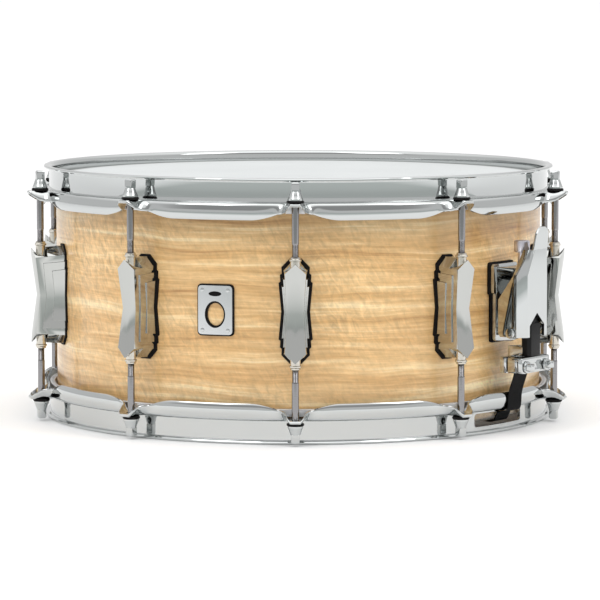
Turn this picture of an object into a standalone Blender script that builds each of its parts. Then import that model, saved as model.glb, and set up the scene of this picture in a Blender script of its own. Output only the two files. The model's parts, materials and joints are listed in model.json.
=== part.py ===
"""A 14 x 6.5 inch snare drum with ten double-ended lugs, triple-flanged hoops, a lever strainer and a butt.

Units are metres, +Z is up, and the origin is on the drum's axis at the lowest point of the lower rim.
Most sizes are given as a radius from the drum's axis (r), a distance along the tangent (u) and a height
above the shell's middle (h). A piece is modelled facing -Y and is then turned about the drum's axis.
"""

import math

import bmesh
import bpy
from mathutils import Matrix, Vector

# Driving dimensions
SHELL_R = 0.1762            # outside radius of the 14 inch shell
SHELL_WALL = 0.0070
SHELL_HALF = 0.0825         # half of the 6.5 inch depth, to the bearing edge
ROD_R = 0.1929              # circle of the tension rods
LUGS = 10
RIM_H = 0.0907              # rim's edge above the shell's middle
EAR_TOP_H = 0.0746          # face that the rod's washer presses on
SHEET = 0.0023              # hoop steel
STRAINER_AT = 54.0          # degrees round from the front lug
BUTT_AT = STRAINER_AT + 180.0
BADGE_AT = -18.0
VENT_AT = 162.0
TOUCH = 0.0003              # gap kept between touching pieces

MIDDLE = Matrix.Translation((0, 0, RIM_H))
STEPS = 60                  # facets round the shell, the heads and their rings

# Hoop
WALL_IN = 0.1790
LIP_R = 0.1840
SKIRT_START = 0.1838
BEND_LENGTH = 0.0035
SKIRT_LENGTH = 0.0113
EAR_LENGTH = 0.0168
SKIRT_ANGLE = math.radians(86)
CURL = math.radians(14)     # how far the skirt's edge turns in between the ears
EAR_FLAT = 0.0046           # half of the ear's level width
EAR_CORNER = 0.0104         # over this the skirt turns down beside an ear
EAR_REACH = 0.0310          # where the skirt has its full length
ARCH_LENGTH = 0.0042        # skirt left at the arch beside an ear
EAR_HOLE_R = 0.0034
GATE_HALF = 0.0275
GATE_TURN = -2.25           # degrees from the strap's middle to the gate's
GATE_H = (0.0762, 0.0855)

# Rods, as heights above the shell's middle
WASHER_R = 0.0060
WASHER_TOP = 0.0763
COLLAR_R = 0.0054
COLLAR_TOP = 0.0776
NECK_R = 0.0036
NECK_H = 0.0822
SQUARE = 0.0058
ROD_TOP = 0.0889
SHANK_R = 0.0025
SHANK_END = 0.0300

# Lug
LUG_BASE = SHELL_R + 0.0011
NUT_R = 0.0035
NUT_BORE_R = 0.0029
NUT_H = (0.0200, 0.0380)
LUG_SCREW_H = 0.0260
SCREW_R = 0.0023
SCREW_HOLE_R = 0.0029
SCREW_HEAD_R = 0.0056
SCREW_HEAD = 0.0032

# Strainer, in r, u and h
PIVOT_R = 0.1970
PIVOT_H = -0.0200
FACE_R = 0.2070             # lever's outer face
LEVER_HALF = 0.0180
LEVER_BEVEL = 0.0055
LEVER_SHEET = 0.0020
LEVER_BACK = 0.1864         # inner edge of the lever's side walls
LEVER_LEAN = math.radians(8.5)
SHOULDER_H = 0.0380         # where the lever has narrowed to its thumb end
KNOB_R = 0.1940             # distance of the knob's axis from the drum's axis
STRAP_R = 0.1936
STRAP_HALF = 0.0085
STRAP_THICK = 0.0006
BUTT_STRAP_R = 0.1886
STRAINER_SCREWS = (0.0160, -0.0140)
CARRIAGE_H = (-0.0480, -0.0370)
BUTT_SCREW_H = -0.0300
CLAMP_SCREW_U = 0.0125
CLAMP_SCREW_H = -0.0435
CLAMP_SCREW_R = 0.0022      # clearance hole


def clear_scene():
    for obj in list(bpy.data.objects):
        bpy.data.objects.remove(obj)


clear_scene()
PARTS = bpy.data.collections.new("snare_drum")
CUTTERS = bpy.data.collections.new("cutters")
for made in (PARTS, CUTTERS):
    bpy.context.scene.collection.children.link(made)


def material(name, colour, metallic, roughness, alpha=1.0):
    made = bpy.data.materials.new(name)
    made.use_nodes = True
    shader = made.node_tree.nodes["Principled BSDF"]
    shader.inputs["Base Color"].default_value = (*colour, 1)
    shader.inputs["Metallic"].default_value = metallic
    shader.inputs["Roughness"].default_value = roughness
    shader.inputs["Alpha"].default_value = alpha
    return made


WOOD = material("shell_wood", (0.72, 0.50, 0.27), 0.0, 0.30)
CHROME = material("chrome", (0.78, 0.79, 0.80), 1.0, 0.06)
COATED = material("head_coated", (0.88, 0.88, 0.86), 0.0, 0.60)
CLEAR = material("head_clear", (0.85, 0.85, 0.83), 0.0, 0.20, 0.40)
ALUMINIUM = material("ring_aluminium", (0.70, 0.70, 0.70), 1.0, 0.35)
RUBBER = material("gasket_rubber", (0.02, 0.02, 0.02), 0.0, 0.60)
STEEL = material("snare_steel", (0.66, 0.66, 0.66), 1.0, 0.25)
BLACK = material("carriage_black", (0.02, 0.02, 0.02), 0.2, 0.40)
RIBBON = material("strap_black", (0.015, 0.015, 0.015), 0.0, 0.80)
SATIN = material("knob_satin", (0.66, 0.64, 0.68), 1.0, 0.35)
PLATE = material("badge_plate", (0.80, 0.81, 0.82), 1.0, 0.18)


# Object and mesh helpers

def place(name, mesh, finish=None, at=None):
    """An object of the part at a matrix, or a hidden helper when it has no finish."""
    obj = bpy.data.objects.new(name, mesh)
    if finish is None:
        CUTTERS.objects.link(obj)
        obj.hide_render = True
        obj.display_type = "WIRE"
    else:
        PARTS.objects.link(obj)
        if not mesh.materials:
            mesh.materials.append(finish)
    obj.matrix_world = at if at is not None else MIDDLE.copy()
    return obj


def mesh_of(work, name="shape"):
    bmesh.ops.recalc_face_normals(work, faces=work.faces)
    mesh = bpy.data.meshes.new(name)
    work.to_mesh(mesh)
    work.free()
    return mesh


def around(degrees):
    """Turns a piece modelled at -Y to its place round the shell, and lifts it to the shell's middle."""
    return MIDDLE @ Matrix.Rotation(math.radians(degrees), 4, "Z")


def add_box(work, u, r, h):
    """A box between two values of u, of r and of h."""
    low = Vector((u[0], -r[1], h[0]))
    high = Vector((u[1], -r[0], h[1]))
    size = high - low
    spot = Matrix.Translation((low + high) / 2) @ Matrix.Diagonal((*size, 1))
    bmesh.ops.create_cube(work, size=1, matrix=spot)


def box(u, r, h):
    work = bmesh.new()
    add_box(work, u, r, h)
    return mesh_of(work)


def add_cylinder(work, radius, start, end, sides=12, end_radius=None):
    """A cylinder or cone between two points given as (u, r, h)."""
    first = Vector((start[0], -start[1], start[2]))
    last = Vector((end[0], -end[1], end[2]))
    along = last - first
    turn = along.to_track_quat("Z", "Y").to_matrix().to_4x4()
    spot = Matrix.Translation((first + last) / 2) @ turn
    bmesh.ops.create_cone(
        work, cap_ends=True, segments=sides, radius1=radius,
        radius2=radius if end_radius is None else end_radius, depth=along.length, matrix=spot)


def cylinder(radius, start, end, sides=12, end_radius=None):
    work = bmesh.new()
    add_cylinder(work, radius, start, end, sides, end_radius)
    return mesh_of(work)


def plate(outline, r):
    """A plate whose (u, h) outline is extruded from r[0] to r[1]."""
    work = bmesh.new()
    back = [work.verts.new((u, -r[0], h)) for u, h in outline]
    face = work.faces.new(back)
    moved = bmesh.ops.extrude_face_region(work, geom=[face])["geom"]
    moved = [v for v in moved if isinstance(v, bmesh.types.BMVert)]
    bmesh.ops.translate(work, verts=moved, vec=(0, r[0] - r[1], 0))
    return mesh_of(work)


def slab(outline, u):
    """A slab whose (r, h) outline is extruded from u[0] to u[1]."""
    work = bmesh.new()
    side = [work.verts.new((u[0], -r, h)) for r, h in outline]
    face = work.faces.new(side)
    moved = bmesh.ops.extrude_face_region(work, geom=[face])["geom"]
    moved = [v for v in moved if isinstance(v, bmesh.types.BMVert)]
    bmesh.ops.translate(work, verts=moved, vec=(u[1] - u[0], 0, 0))
    return mesh_of(work)


def loft(rings, cap=True):
    """A skin over closed rings of points (u, r, h) with the same number of points each."""
    work = bmesh.new()
    made = [[work.verts.new((u, -r, h)) for u, r, h in ring] for ring in rings]
    count = len(made[0])
    for one, two in zip(made, made[1:]):
        for i in range(count):
            work.faces.new((one[i], one[(i + 1) % count], two[(i + 1) % count], two[i]))
    if cap:
        work.faces.new(made[0])
        work.faces.new(made[-1])
    return mesh_of(work)


def combined(first, *others):
    """One mesh from a base mesh and (operation, mesh) steps, each done as an exact Boolean."""
    obj = place("working", first)
    helpers = []
    for operation, mesh in others:
        helper = place("helper", mesh)
        helpers.append(helper)
        step = obj.modifiers.new(operation, "BOOLEAN")
        step.operation = operation
        step.object = helper
    bpy.context.view_layer.update()
    graph = bpy.context.evaluated_depsgraph_get()
    made = bpy.data.meshes.new_from_object(obj.evaluated_get(graph))
    for used in (obj, *helpers):
        bpy.data.objects.remove(used)
    return made


def turned(name, profile, finish, steps=STEPS):
    """A closed profile of (r, h) points, running down its outer side, turned about the drum's axis."""
    work = bmesh.new()
    points = [work.verts.new((r, 0, h)) for r, h in profile]
    for one, two in zip(points, points[1:] + points[:1]):
        if one.co.x > 0 or two.co.x > 0:
            work.edges.new((one, two))
    mesh = bpy.data.meshes.new(name)
    work.to_mesh(mesh)
    work.free()
    obj = place(name, mesh, finish)
    screw = obj.modifiers.new("turn", "SCREW")
    screw.steps = screw.render_steps = steps
    screw.use_merge_vertices = True
    screw.merge_threshold = 0.00001
    return obj


def baked(obj):
    """The object's own mesh replaced by what its modifiers make."""
    bpy.context.view_layer.update()
    graph = bpy.context.evaluated_depsgraph_get()
    obj.data = bpy.data.meshes.new_from_object(obj.evaluated_get(graph))
    obj.modifiers.clear()
    return obj.data


def cut_by(obj, mesh, name):
    cutter = place(name, mesh)
    step = obj.modifiers.new(name, "BOOLEAN")
    step.object = cutter
    step.operation = "DIFFERENCE"


def smooth(mesh, degrees=30):
    mesh.shade_smooth()
    mesh.set_sharp_from_angle(angle=math.radians(degrees))


# Shell, heads and hoops

def snare_bed(angle):
    """How far the lower bearing edge is relieved, at an angle round the shell in degrees."""
    depth, reach = 0.0012, 16.0
    near = min(abs((angle - side + 180) % 360 - 180) for side in (STRAINER_AT, BUTT_AT))
    return depth * (0.5 + 0.5 * math.cos(math.pi * min(near / reach, 1.0)))


def shell():
    inside = SHELL_R - SHELL_WALL
    apex = SHELL_R - 0.0027
    cut = SHELL_HALF - (apex - inside)
    round_over = SHELL_HALF - 0.0020
    half = [(inside, cut), (apex, SHELL_HALF), (SHELL_R, round_over)]
    profile = half + [(r, -h) for r, h in reversed(half)]
    obj = turned("shell", profile, WOOD)
    mesh = baked(obj)
    for vertex in mesh.vertices:
        if vertex.co.z < -cut - 0.001:
            angle = math.degrees(math.atan2(vertex.co.x, -vertex.co.y))
            vertex.co.z += snare_bed(angle)
    cut_by(obj, shell_holes(), "shell_holes")


def shell_holes():
    """Radial holes for the lugs' screws, the strainer's, the butt's and the vent."""
    work = bmesh.new()
    through = (SHELL_R - SHELL_WALL - 0.003, SHELL_R + 0.003)
    holes = [(36.0 * k, h, SCREW_HOLE_R) for k in range(LUGS) for h in (-LUG_SCREW_H, LUG_SCREW_H)]
    holes += [(STRAINER_AT, h, SCREW_HOLE_R) for h in STRAINER_SCREWS]
    holes += [(BUTT_AT, BUTT_SCREW_H, SCREW_HOLE_R), (VENT_AT, 0.0, 0.0070)]
    for angle, h, radius in holes:
        turn = Matrix.Rotation(math.radians(angle), 4, "Z")
        made = bmesh.new()
        sides = 8 if radius > SCREW_HOLE_R else 6
        add_cylinder(made, radius, (0, through[0], h), (0, through[1], h), sides)
        bmesh.ops.transform(made, matrix=turn, verts=made.verts)
        piece = mesh_of(made)
        work.from_mesh(piece)
    return mesh_of(work)


def head(name, sign, finish):
    """The film of a head: a flat disc over the bearing edge, and a collar down to its ring."""
    thick = 0.0004
    top = SHELL_HALF + TOUCH + thick
    collar = SHELL_R + 0.0008
    foot = 0.0680
    outer = [(0, top), (SHELL_R - 0.0014, top), (collar + thick, top - 0.0028), (collar + thick, foot)]
    inner = [(collar, foot), (collar, top - 0.0030), (SHELL_R - 0.0016, top - thick), (0, top - thick)]
    profile = outer + inner
    if sign < 0:
        profile = [(r, -h) for r, h in reversed(profile)]
    turned(name, profile, finish)


def head_ring(name, sign):
    inside, outside = SHELL_R + 0.0017, SHELL_R + 0.0056
    low, high = 0.0665, EAR_TOP_H - SHEET - TOUCH
    profile = [(outside, high), (outside, low), (inside, low), (inside, high)]
    if sign < 0:
        profile = [(r, -h) for r, h in reversed(profile)]
    turned(name, profile, ALUMINIUM)


def hoop_stations():
    """Angles round the hoop, close together beside each ear and wide apart between the ears."""
    arc = math.radians(36) * ROD_R
    near = [0.0, EAR_FLAT, 0.0072, 0.0100, 0.0145, 0.0215, EAR_REACH]
    half = near + [arc / 2]
    steps = half + [arc - s for s in reversed(near[1:])]
    return [(k * arc + s) / ROD_R for k in range(LUGS) for s in steps]


def hoop_section(angle):
    """The hoop's closed section at an angle, as (r, h) points offset to both sides of its middle line."""
    sector = math.radians(36)
    off = abs((angle + sector / 2) % sector - sector / 2) * ROD_R
    down = min(max((off - EAR_FLAT) / (EAR_REACH - EAR_FLAT), 0.0), 1.0)
    beside = min(max((off - EAR_FLAT) / EAR_CORNER, 0.0), 1.0)
    tilt = SKIRT_ANGLE * (1 - (1 - beside) ** 1.8)
    length = SKIRT_LENGTH - (SKIRT_LENGTH - ARCH_LENGTH) * (1 - down) ** 1.6
    length += (EAR_LENGTH - ARCH_LENGTH) * (1 - beside) ** 3
    half = SHEET / 2
    wall = WALL_IN + half
    shelf = EAR_TOP_H - half
    line = [(LIP_R, RIM_H - half), (wall, RIM_H - half), (wall, shelf), (SKIRT_START, shelf)]
    r = SKIRT_START + BEND_LENGTH * math.cos(tilt / 2)
    h = shelf - BEND_LENGTH * math.sin(tilt / 2)
    rest = (length - BEND_LENGTH) / 2
    line.append((r, h))
    for turn in (tilt - CURL * down / 2, tilt + CURL * down):
        r += rest * math.cos(turn)
        h -= rest * math.sin(turn)
        line.append((r, h))
    one, two = [], []
    for i, (r, h) in enumerate(line):
        here = Vector((r, h))
        into = (here - Vector(line[i - 1])).normalized() if i else None
        out = (Vector(line[i + 1]) - here).normalized() if i < len(line) - 1 else into
        into = into or out
        side = Vector((-into.y - out.y, into.x + out.x))
        side *= half / side.dot(Vector((-into.y, into.x)))
        one.append(tuple(here + side))
        two.append(tuple(here - side))
    return one + two[::-1]


def hoop_mesh(sign):
    work = bmesh.new()
    rings = []
    for angle in hoop_stations():
        section = hoop_section(angle)
        across, out = math.sin(angle), -math.cos(angle)
        rings.append([work.verts.new((r * across, r * out, sign * h)) for r, h in section])
    count = len(rings[0])
    for i, ring in enumerate(rings):
        other = rings[(i + 1) % len(rings)]
        for j in range(count):
            work.faces.new((ring[j], ring[(j + 1) % count], other[(j + 1) % count], other[j]))
    return mesh_of(work)


def ear_holes(sign):
    work = bmesh.new()
    for k in range(LUGS):
        angle = math.radians(36 * k)
        spot = Matrix.Translation((ROD_R * math.sin(angle), -ROD_R * math.cos(angle), sign * EAR_TOP_H))
        bmesh.ops.create_cone(work, cap_ends=True, segments=8, radius1=EAR_HOLE_R, radius2=EAR_HOLE_R,
                              depth=0.008, matrix=spot)
    return mesh_of(work)


def gates():
    """The two windows in the lower hoop's wall that the straps pass through."""
    work = bmesh.new()
    for side in (STRAINER_AT, BUTT_AT):
        made = bmesh.new()
        add_box(made, (-GATE_HALF, GATE_HALF), (0.165, 0.1822), (-GATE_H[1], -GATE_H[0]))
        turn = Matrix.Rotation(math.radians(side + GATE_TURN), 4, "Z")
        bmesh.ops.transform(made, matrix=turn, verts=made.verts)
        work.from_mesh(mesh_of(made))
    return mesh_of(work)


def hoops():
    batter = place("batter_hoop", hoop_mesh(1), CHROME)
    cut_by(batter, ear_holes(1), "batter_ear_holes")
    lower = place("snare_side_hoop", hoop_mesh(-1), CHROME)
    cut_by(lower, ear_holes(-1), "snare_side_ear_holes")
    cut_by(lower, gates(), "snare_gates")


# Lugs and tension rods

def tier(half_end, half_waist, end_h, taper, end_r, waist_r):
    """One step of the lug's side: a bow tie in front view whose face is hollow at the waist."""
    low = [(half_end, end_h), (half_waist, 0), (half_end, -end_h),
           (-half_end, -end_h), (-half_waist, 0), (-half_end, end_h)]
    high = [(half_end - taper, end_h - taper), (half_waist - taper, 0), (half_end - taper, taper - end_h),
            (taper - half_end, taper - end_h), (taper - half_waist, 0), (taper - half_end, end_h - taper)]
    work = bmesh.new()
    base = [work.verts.new((u, -LUG_BASE, h)) for u, h in low]
    face = [work.verts.new((u, -(waist_r if h == 0 else end_r), h)) for u, h in high]
    for i in range(6):
        work.faces.new((base[i], base[(i + 1) % 6], face[(i + 1) % 6], face[i]))
    work.faces.new(base)
    work.faces.new((face[0], face[1], face[4], face[5]))
    work.faces.new((face[1], face[2], face[3], face[4]))
    return mesh_of(work)


def lug_core():
    """The lug's tall middle: pointed at both ends, with a ridge down its front and a narrow waist."""
    base = [(0.0028, 0.0350), (0.0084, 0.0288), (0.0068, 0), (0.0084, -0.0288), (0.0028, -0.0350)]
    base += [(-u, h) for u, h in reversed(base)]
    front = [(0.0, 0.2001, 0.0338), (0.0072, 0.1982, 0.0272), (0.0056, 0.1946, 0),
             (0.0072, 0.1982, -0.0272), (0.0, 0.2001, -0.0338),
             (-0.0072, 0.1982, -0.0272), (-0.0056, 0.1946, 0), (-0.0072, 0.1982, 0.0272)]
    work = bmesh.new()
    low = [work.verts.new((u, -LUG_BASE, h)) for u, h in base]
    high = [work.verts.new((u, -r, h)) for u, r, h in front]
    ridge = work.verts.new((0, -0.1957, 0))
    tip, right_top, right, right_low, foot, left_low, left, left_top = high
    for face in (
        (tip, right_top, right, ridge), (ridge, right, right_low, foot),
        (tip, ridge, left, left_top), (ridge, foot, left_low, left),
        (low[0], low[1], right_top, tip), (low[1], low[2], right, right_top),
        (low[2], low[3], right_low, right), (low[3], low[4], foot, right_low),
        (low[4], low[5], foot), (low[5], low[6], left_low, foot),
        (low[6], low[7], left, left_low), (low[7], low[8], left_top, left),
        (low[8], low[9], tip, left_top), (low[9], low[0], tip), tuple(low),
    ):
        work.faces.new(face)
    return mesh_of(work)


def nut_seat(sign):
    """What is cut from an end of the lug, behind its pointed front, to show the nut."""
    outline = [(0.1890, 0.0400), (0.1895, 0.0275), (0.1965, 0.0293), (0.2003, 0.0350), (0.2003, 0.0400)]
    return slab([(r, sign * h) for r, h in outline], (-0.012, 0.012))


def lug_mesh():
    """Casing with its two nuts and its two mounting screws."""
    steps = [("UNION", tier(0.0092, 0.0078, 0.0240, 0.0010, 0.1926, 0.1903)),
             ("UNION", tier(0.0101, 0.0086, 0.0184, 0.0009, 0.1865, 0.1845))]
    inside = SHELL_R - SHELL_WALL
    for sign in (1, -1):
        steps.append(("DIFFERENCE", nut_seat(sign)))
        ends = [(0, ROD_R, sign * h) for h in NUT_H]
        steps.append(("UNION", cylinder(NUT_R, *ends, 8)))
        steps.append(("DIFFERENCE", cylinder(
            NUT_BORE_R, (0, ROD_R, sign * 0.0285), (0, ROD_R, sign * (NUT_H[1] + 0.002)), 8)))
        h = sign * LUG_SCREW_H
        steps.append(("UNION", cylinder(SCREW_R, (0, inside - 0.0010, h), (0, LUG_BASE + 0.006, h), 6)))
        steps.append(("UNION", cylinder(
            SCREW_HEAD_R, (0, inside - 0.0008 - SCREW_HEAD, h), (0, inside - 0.0008, h), 6)))
    return combined(lug_core(), *steps)


def lugs():
    mesh = lug_mesh()
    for k in range(LUGS):
        place(f"lug_{k + 1:02d}", mesh, CHROME, around(36 * k))


def rod_mesh():
    """A square-headed tension rod with its washer, about its own axis, as rings of eight points."""
    circle = [(math.cos(math.pi / 4 * i), math.sin(math.pi / 4 * i)) for i in range(8)]
    square = [(x / max(abs(x), abs(y)), y / max(abs(x), abs(y))) for x, y in circle]
    rings = [(circle, SHANK_R, SHANK_END), (circle, SHANK_R, EAR_TOP_H + TOUCH),
             (circle, WASHER_R, EAR_TOP_H + TOUCH), (circle, WASHER_R, WASHER_TOP),
             (circle, COLLAR_R, COLLAR_TOP), (circle, NECK_R, NECK_H),
             (square, SQUARE / 2, NECK_H + 0.0004), (square, SQUARE / 2, ROD_TOP - 0.0007),
             (square, SQUARE / 2 - 0.0007, ROD_TOP)]
    return loft([[(x * radius, y * radius, h) for x, y in shape] for shape, radius, h in rings])


def tension_rods():
    mesh = rod_mesh()
    for side, flip in (("upper", 0.0), ("lower", math.pi)):
        for k in range(LUGS):
            at = around(36 * k) @ Matrix.Translation((0, -ROD_R, 0)) @ Matrix.Rotation(flip, 4, "X")
            place(f"{side}_rod_{k + 1:02d}", mesh, CHROME, at)


# Strainer


def strainer_frame(r=0.0, h=0.0):
    """Where a strainer piece stands, with its origin at r and h on the strainer's middle plane."""
    return around(STRAINER_AT) @ Matrix.Translation((0, -r, h))


def curved_gasket(half, h, inside, outside):
    """A thin sheet that follows the shell, between two radii."""
    count = 6
    angles = [(-1 + 2 * i / count) * half / inside for i in range(count + 1)]
    ring = [(inside * math.sin(a), inside * math.cos(a)) for a in angles]
    ring += [(outside * math.sin(a), outside * math.cos(a)) for a in reversed(angles)]
    return loft([[(u, r, level) for u, r in ring] for level in h])


def screw_mesh(h, reach):
    """A mounting screw: its head inside the shell and its shank out to a radius."""
    inside = SHELL_R - SHELL_WALL
    shank = cylinder(SCREW_R, (0, inside - 0.0010, h), (0, reach, h), 6)
    top = cylinder(SCREW_HEAD_R, (0, inside - 0.0008 - SCREW_HEAD, h), (0, inside - 0.0008, h), 8)
    return combined(top, ("UNION", shank))


def strainer_base():
    back = SHELL_R + 0.0016
    plate_up = box((-0.0144, 0.0144), (0.1740, 0.1812), (0.0066, 0.0270))
    base = combined(box((-0.0124, 0.0124), (0.1740, 0.1812), (-0.0270, 0.0100)), ("UNION", plate_up))
    base = curved_back(base, back)
    steps = [("UNION", box((-0.0120, 0.0120), (0.1805, 0.1990), (0.0065, 0.0250)))]
    for side in (-1, 1):
        cheek = [
            (0.1805, -0.0262), (0.1930, -0.0262), (0.2000, -0.0232), (0.2000, 0.0070), (0.1805, 0.0070),
        ]
        u = sorted((side * 0.0092, side * 0.0120))
        steps.append(("UNION", slab(cheek, u)))
    steps.append(("DIFFERENCE", cylinder(0.0020, (-0.02, PIVOT_R, PIVOT_H), (0.02, PIVOT_R, PIVOT_H), 12)))
    steps.append(("DIFFERENCE", cylinder(0.0024, (0, KNOB_R, 0.0), (0, KNOB_R, 0.03), 12)))
    for h in STRAINER_SCREWS:
        steps.append(("DIFFERENCE", cylinder(SCREW_R + TOUCH, (0, 0.170, h), (0, 0.1806, h), 8)))
    place("strainer_base", combined(base, *steps), CHROME, strainer_frame())


def curved_back(mesh, radius):
    """The mesh without what lies inside a radius, so that it sits on the round shell."""
    work = bmesh.new()
    bmesh.ops.create_cone(work, cap_ends=True, segments=STEPS, radius1=radius, radius2=radius, depth=0.3)
    return combined(mesh, ("DIFFERENCE", mesh_of(work)))


def strainer_gasket():
    sheet = curved_gasket(0.0136, (-0.0282, 0.0282), SHELL_R + TOUCH, SHELL_R + 0.0013)
    wider = curved_gasket(0.0156, (0.0058, 0.0282), SHELL_R + TOUCH, SHELL_R + 0.0013)
    steps = [("UNION", wider)]
    for h in STRAINER_SCREWS:
        steps.append(("DIFFERENCE", cylinder(SCREW_R + TOUCH, (0, 0.170, h), (0, 0.182, h), 8)))
    place("strainer_gasket", combined(sheet, *steps), RUBBER, strainer_frame())


def lever():
    """The throw-off lever: a channel with bevelled edges and a notched foot, and a narrow thumb end."""
    foot, bend = -0.0230, 0.0200
    channel = lever_channel(foot, bend)
    below = foot - 0.001
    notch = [(-0.0093, below), (-0.0093, -0.0150), (0, -0.0064), (0.0093, -0.0150), (0.0093, below)]
    behind = [(0.1800, 0.0030), (LEVER_BACK, 0.0030), (0.1985, bend), (0.2020, SHOULDER_H + 0.001),
              (0.1800, SHOULDER_H + 0.001)]
    under = [(0.1800, foot - 0.001), (0.1887, foot - 0.001), (LEVER_BACK, -0.0205), (0.1800, -0.0205)]
    steps = [("UNION", thumb_end(bend)),
             ("DIFFERENCE", plate(notch, (0.2000, FACE_R + 0.001))),
             ("DIFFERENCE", slab(behind, (-0.02, 0.02))),
             ("DIFFERENCE", slab(under, (-0.02, 0.02))),
             ("DIFFERENCE", cylinder(0.0020, (-0.02, PIVOT_R, PIVOT_H), (0.02, PIVOT_R, PIVOT_H), 12))]
    mesh = combined(channel, *steps)
    mesh.transform(Matrix.Translation((0, PIVOT_R, -PIVOT_H)))
    place("strainer_lever", mesh, CHROME, strainer_frame(PIVOT_R, PIVOT_H))


def lever_channel(foot, bend_h):
    """The lever's folded sheet: straight up to the bend, then narrowing as it leans outward."""
    lean = (SHOULDER_H - bend_h) * math.tan(LEVER_LEAN)
    straight = channel_section(LEVER_HALF, LEVER_BEVEL, LEVER_BACK, 0.0)
    narrow = channel_section(0.0100, 0.0024, 0.1990, lean)
    return loft([[(u, r, h) for u, r in section]
                 for section, h in ((straight, foot), (straight, bend_h), (narrow, SHOULDER_H))])


def channel_section(wide, bevel, back, lean):
    """The folded sheet from above, as (u, r) points round its outside and back along its inside."""
    face, inside = FACE_R + lean, FACE_R - LEVER_SHEET + lean
    outer = [(-wide, back + lean), (-wide, face - bevel), (bevel - wide, face)]
    inner = [(LEVER_SHEET - wide, back + lean), (LEVER_SHEET - wide, face - bevel - 0.0006),
             (bevel - wide + 0.0006, inside)]
    return outer + [(-u, r) for u, r in reversed(outer)] + [(-u, r) for u, r in inner] + inner[::-1]


def thumb_end(bend_h):
    """The narrow upper end, leaning outward above the shoulder."""
    inner = FACE_R - LEVER_SHEET
    low = SHOULDER_H - 0.0030
    angles = [math.pi / 6 * i for i in range(7)]
    arc = [(0.0076 * math.cos(a), 0.0480 + 0.0066 * math.sin(a)) for a in angles]
    neck = plate([(0.0088, low)] + arc + [(-0.0088, low)], (inner + 0.0002, FACE_R - 0.0002))
    hinge = Vector((0, -inner, bend_h))
    neck.transform(Matrix.Translation(hinge) @ Matrix.Rotation(LEVER_LEAN, 4, "X")
                   @ Matrix.Translation(-hinge))
    return neck


def pivot_pin():
    work = bmesh.new()
    add_cylinder(work, 0.0017, (-0.0187, PIVOT_R, PIVOT_H), (0.0187, PIVOT_R, PIVOT_H), 12)
    pin = mesh_of(work)
    caps = []
    for side in (-1, 1):
        caps.append(("UNION", cylinder(
            0.0036, (side * 0.0184, PIVOT_R, PIVOT_H), (side * 0.0198, PIVOT_R, PIVOT_H), 12)))
    place("lever_pivot_pin", combined(pin, *caps), CHROME, strainer_frame())


def carriage():
    """The sliding block that the lever raises: a rear slide, a black stem and the fixed clamp jaw."""
    stem = box((-0.0078, 0.0078), (0.1994, 0.2042), (-0.0140, 0.0040))
    steps = [
        ("UNION", box((-0.0086, 0.0086), (0.1840, 0.1996), (-0.0080, 0.0050))),
        ("UNION", plate_chamfered(0.0078, (0.1994, 0.2060), (-0.0365, -0.0138))),
        ("UNION", box((-0.0175, 0.0175), (0.1880, 0.1930), CARRIAGE_H)),
        ("UNION", box((-0.0078, 0.0078), (0.1880, 0.1930), (-0.0376, -0.0300))),
        ("UNION", box((-0.0078, 0.0078), (0.1900, 0.2000), (-0.0365, -0.0300))),
        ("DIFFERENCE", cylinder(0.0024, (0, KNOB_R, -0.0050), (0, KNOB_R, 0.0080), 12)),
    ]
    for side in (-1, 1):
        start = (side * CLAMP_SCREW_U, 0.1870, CLAMP_SCREW_H)
        end = (side * CLAMP_SCREW_U, 0.1950, CLAMP_SCREW_H)
        steps.append(("DIFFERENCE", cylinder(CLAMP_SCREW_R, start, end, 10)))
    place("strainer_carriage", combined(stem, *steps), BLACK, strainer_frame())


def plate_chamfered(half, r, h):
    """A block whose two outer upright edges are cut back."""
    cut = 0.0020
    outline = [
        (-half, r[0]), (half, r[0]), (half, r[1] - cut),
        (half - cut, r[1]), (cut - half, r[1]), (-half, r[1] - cut),
    ]
    return loft([[(u, depth, level) for u, depth in outline] for level in h])


def clamp_plate(name, at, r, h, screw_h):
    """A jaw that two key screws pull against the strap."""
    jaw = box((-0.0175, 0.0175), r, h)
    steps = []
    for side in (-1, 1):
        u = side * CLAMP_SCREW_U
        ends = (u, r[0] - 0.002, screw_h), (u, r[1] + 0.002, screw_h)
        steps.append(("DIFFERENCE", cylinder(CLAMP_SCREW_R, *ends, 10)))
    place(name, combined(jaw, *steps), CHROME, at)


def key_screw(name, at, u, h, start, seat):
    """A square-headed key screw: shank from a radius out to its seat, then collar and square."""
    half = 0.0025
    corners = ((1, 1), (-1, 1), (-1, -1), (1, -1))
    depths = (seat + 0.0014, seat + 0.0060)
    square = loft([[(u + x * half, depth, h + y * half) for x, y in corners] for depth in depths])
    collar = cylinder(0.0042, (u, seat + TOUCH, h), (u, seat + 0.0018, h), 12)
    shank = cylinder(0.0018, (u, start, h), (u, seat + 0.0010, h), 8)
    place(name, combined(collar, ("UNION", shank), ("UNION", square)), CHROME, at)


def knob():
    """The snare tension knob, turned about its own upright axis."""
    work = bmesh.new()
    add_cylinder(work, 0.0019, (0, 0, -0.0020), (0, 0, 0.0290), 10)
    stem = mesh_of(work)
    collar = cylinder(0.0028, (0, 0, 0.0254), (0, 0, 0.0360), 12)
    grip = cylinder(0.0056, (0, 0, 0.0352), (0, 0, 0.0436), 20)
    mesh = combined(stem, ("UNION", collar), ("UNION", grip))
    place("tension_knob", mesh, SATIN, strainer_frame(KNOB_R, 0.0))


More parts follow.
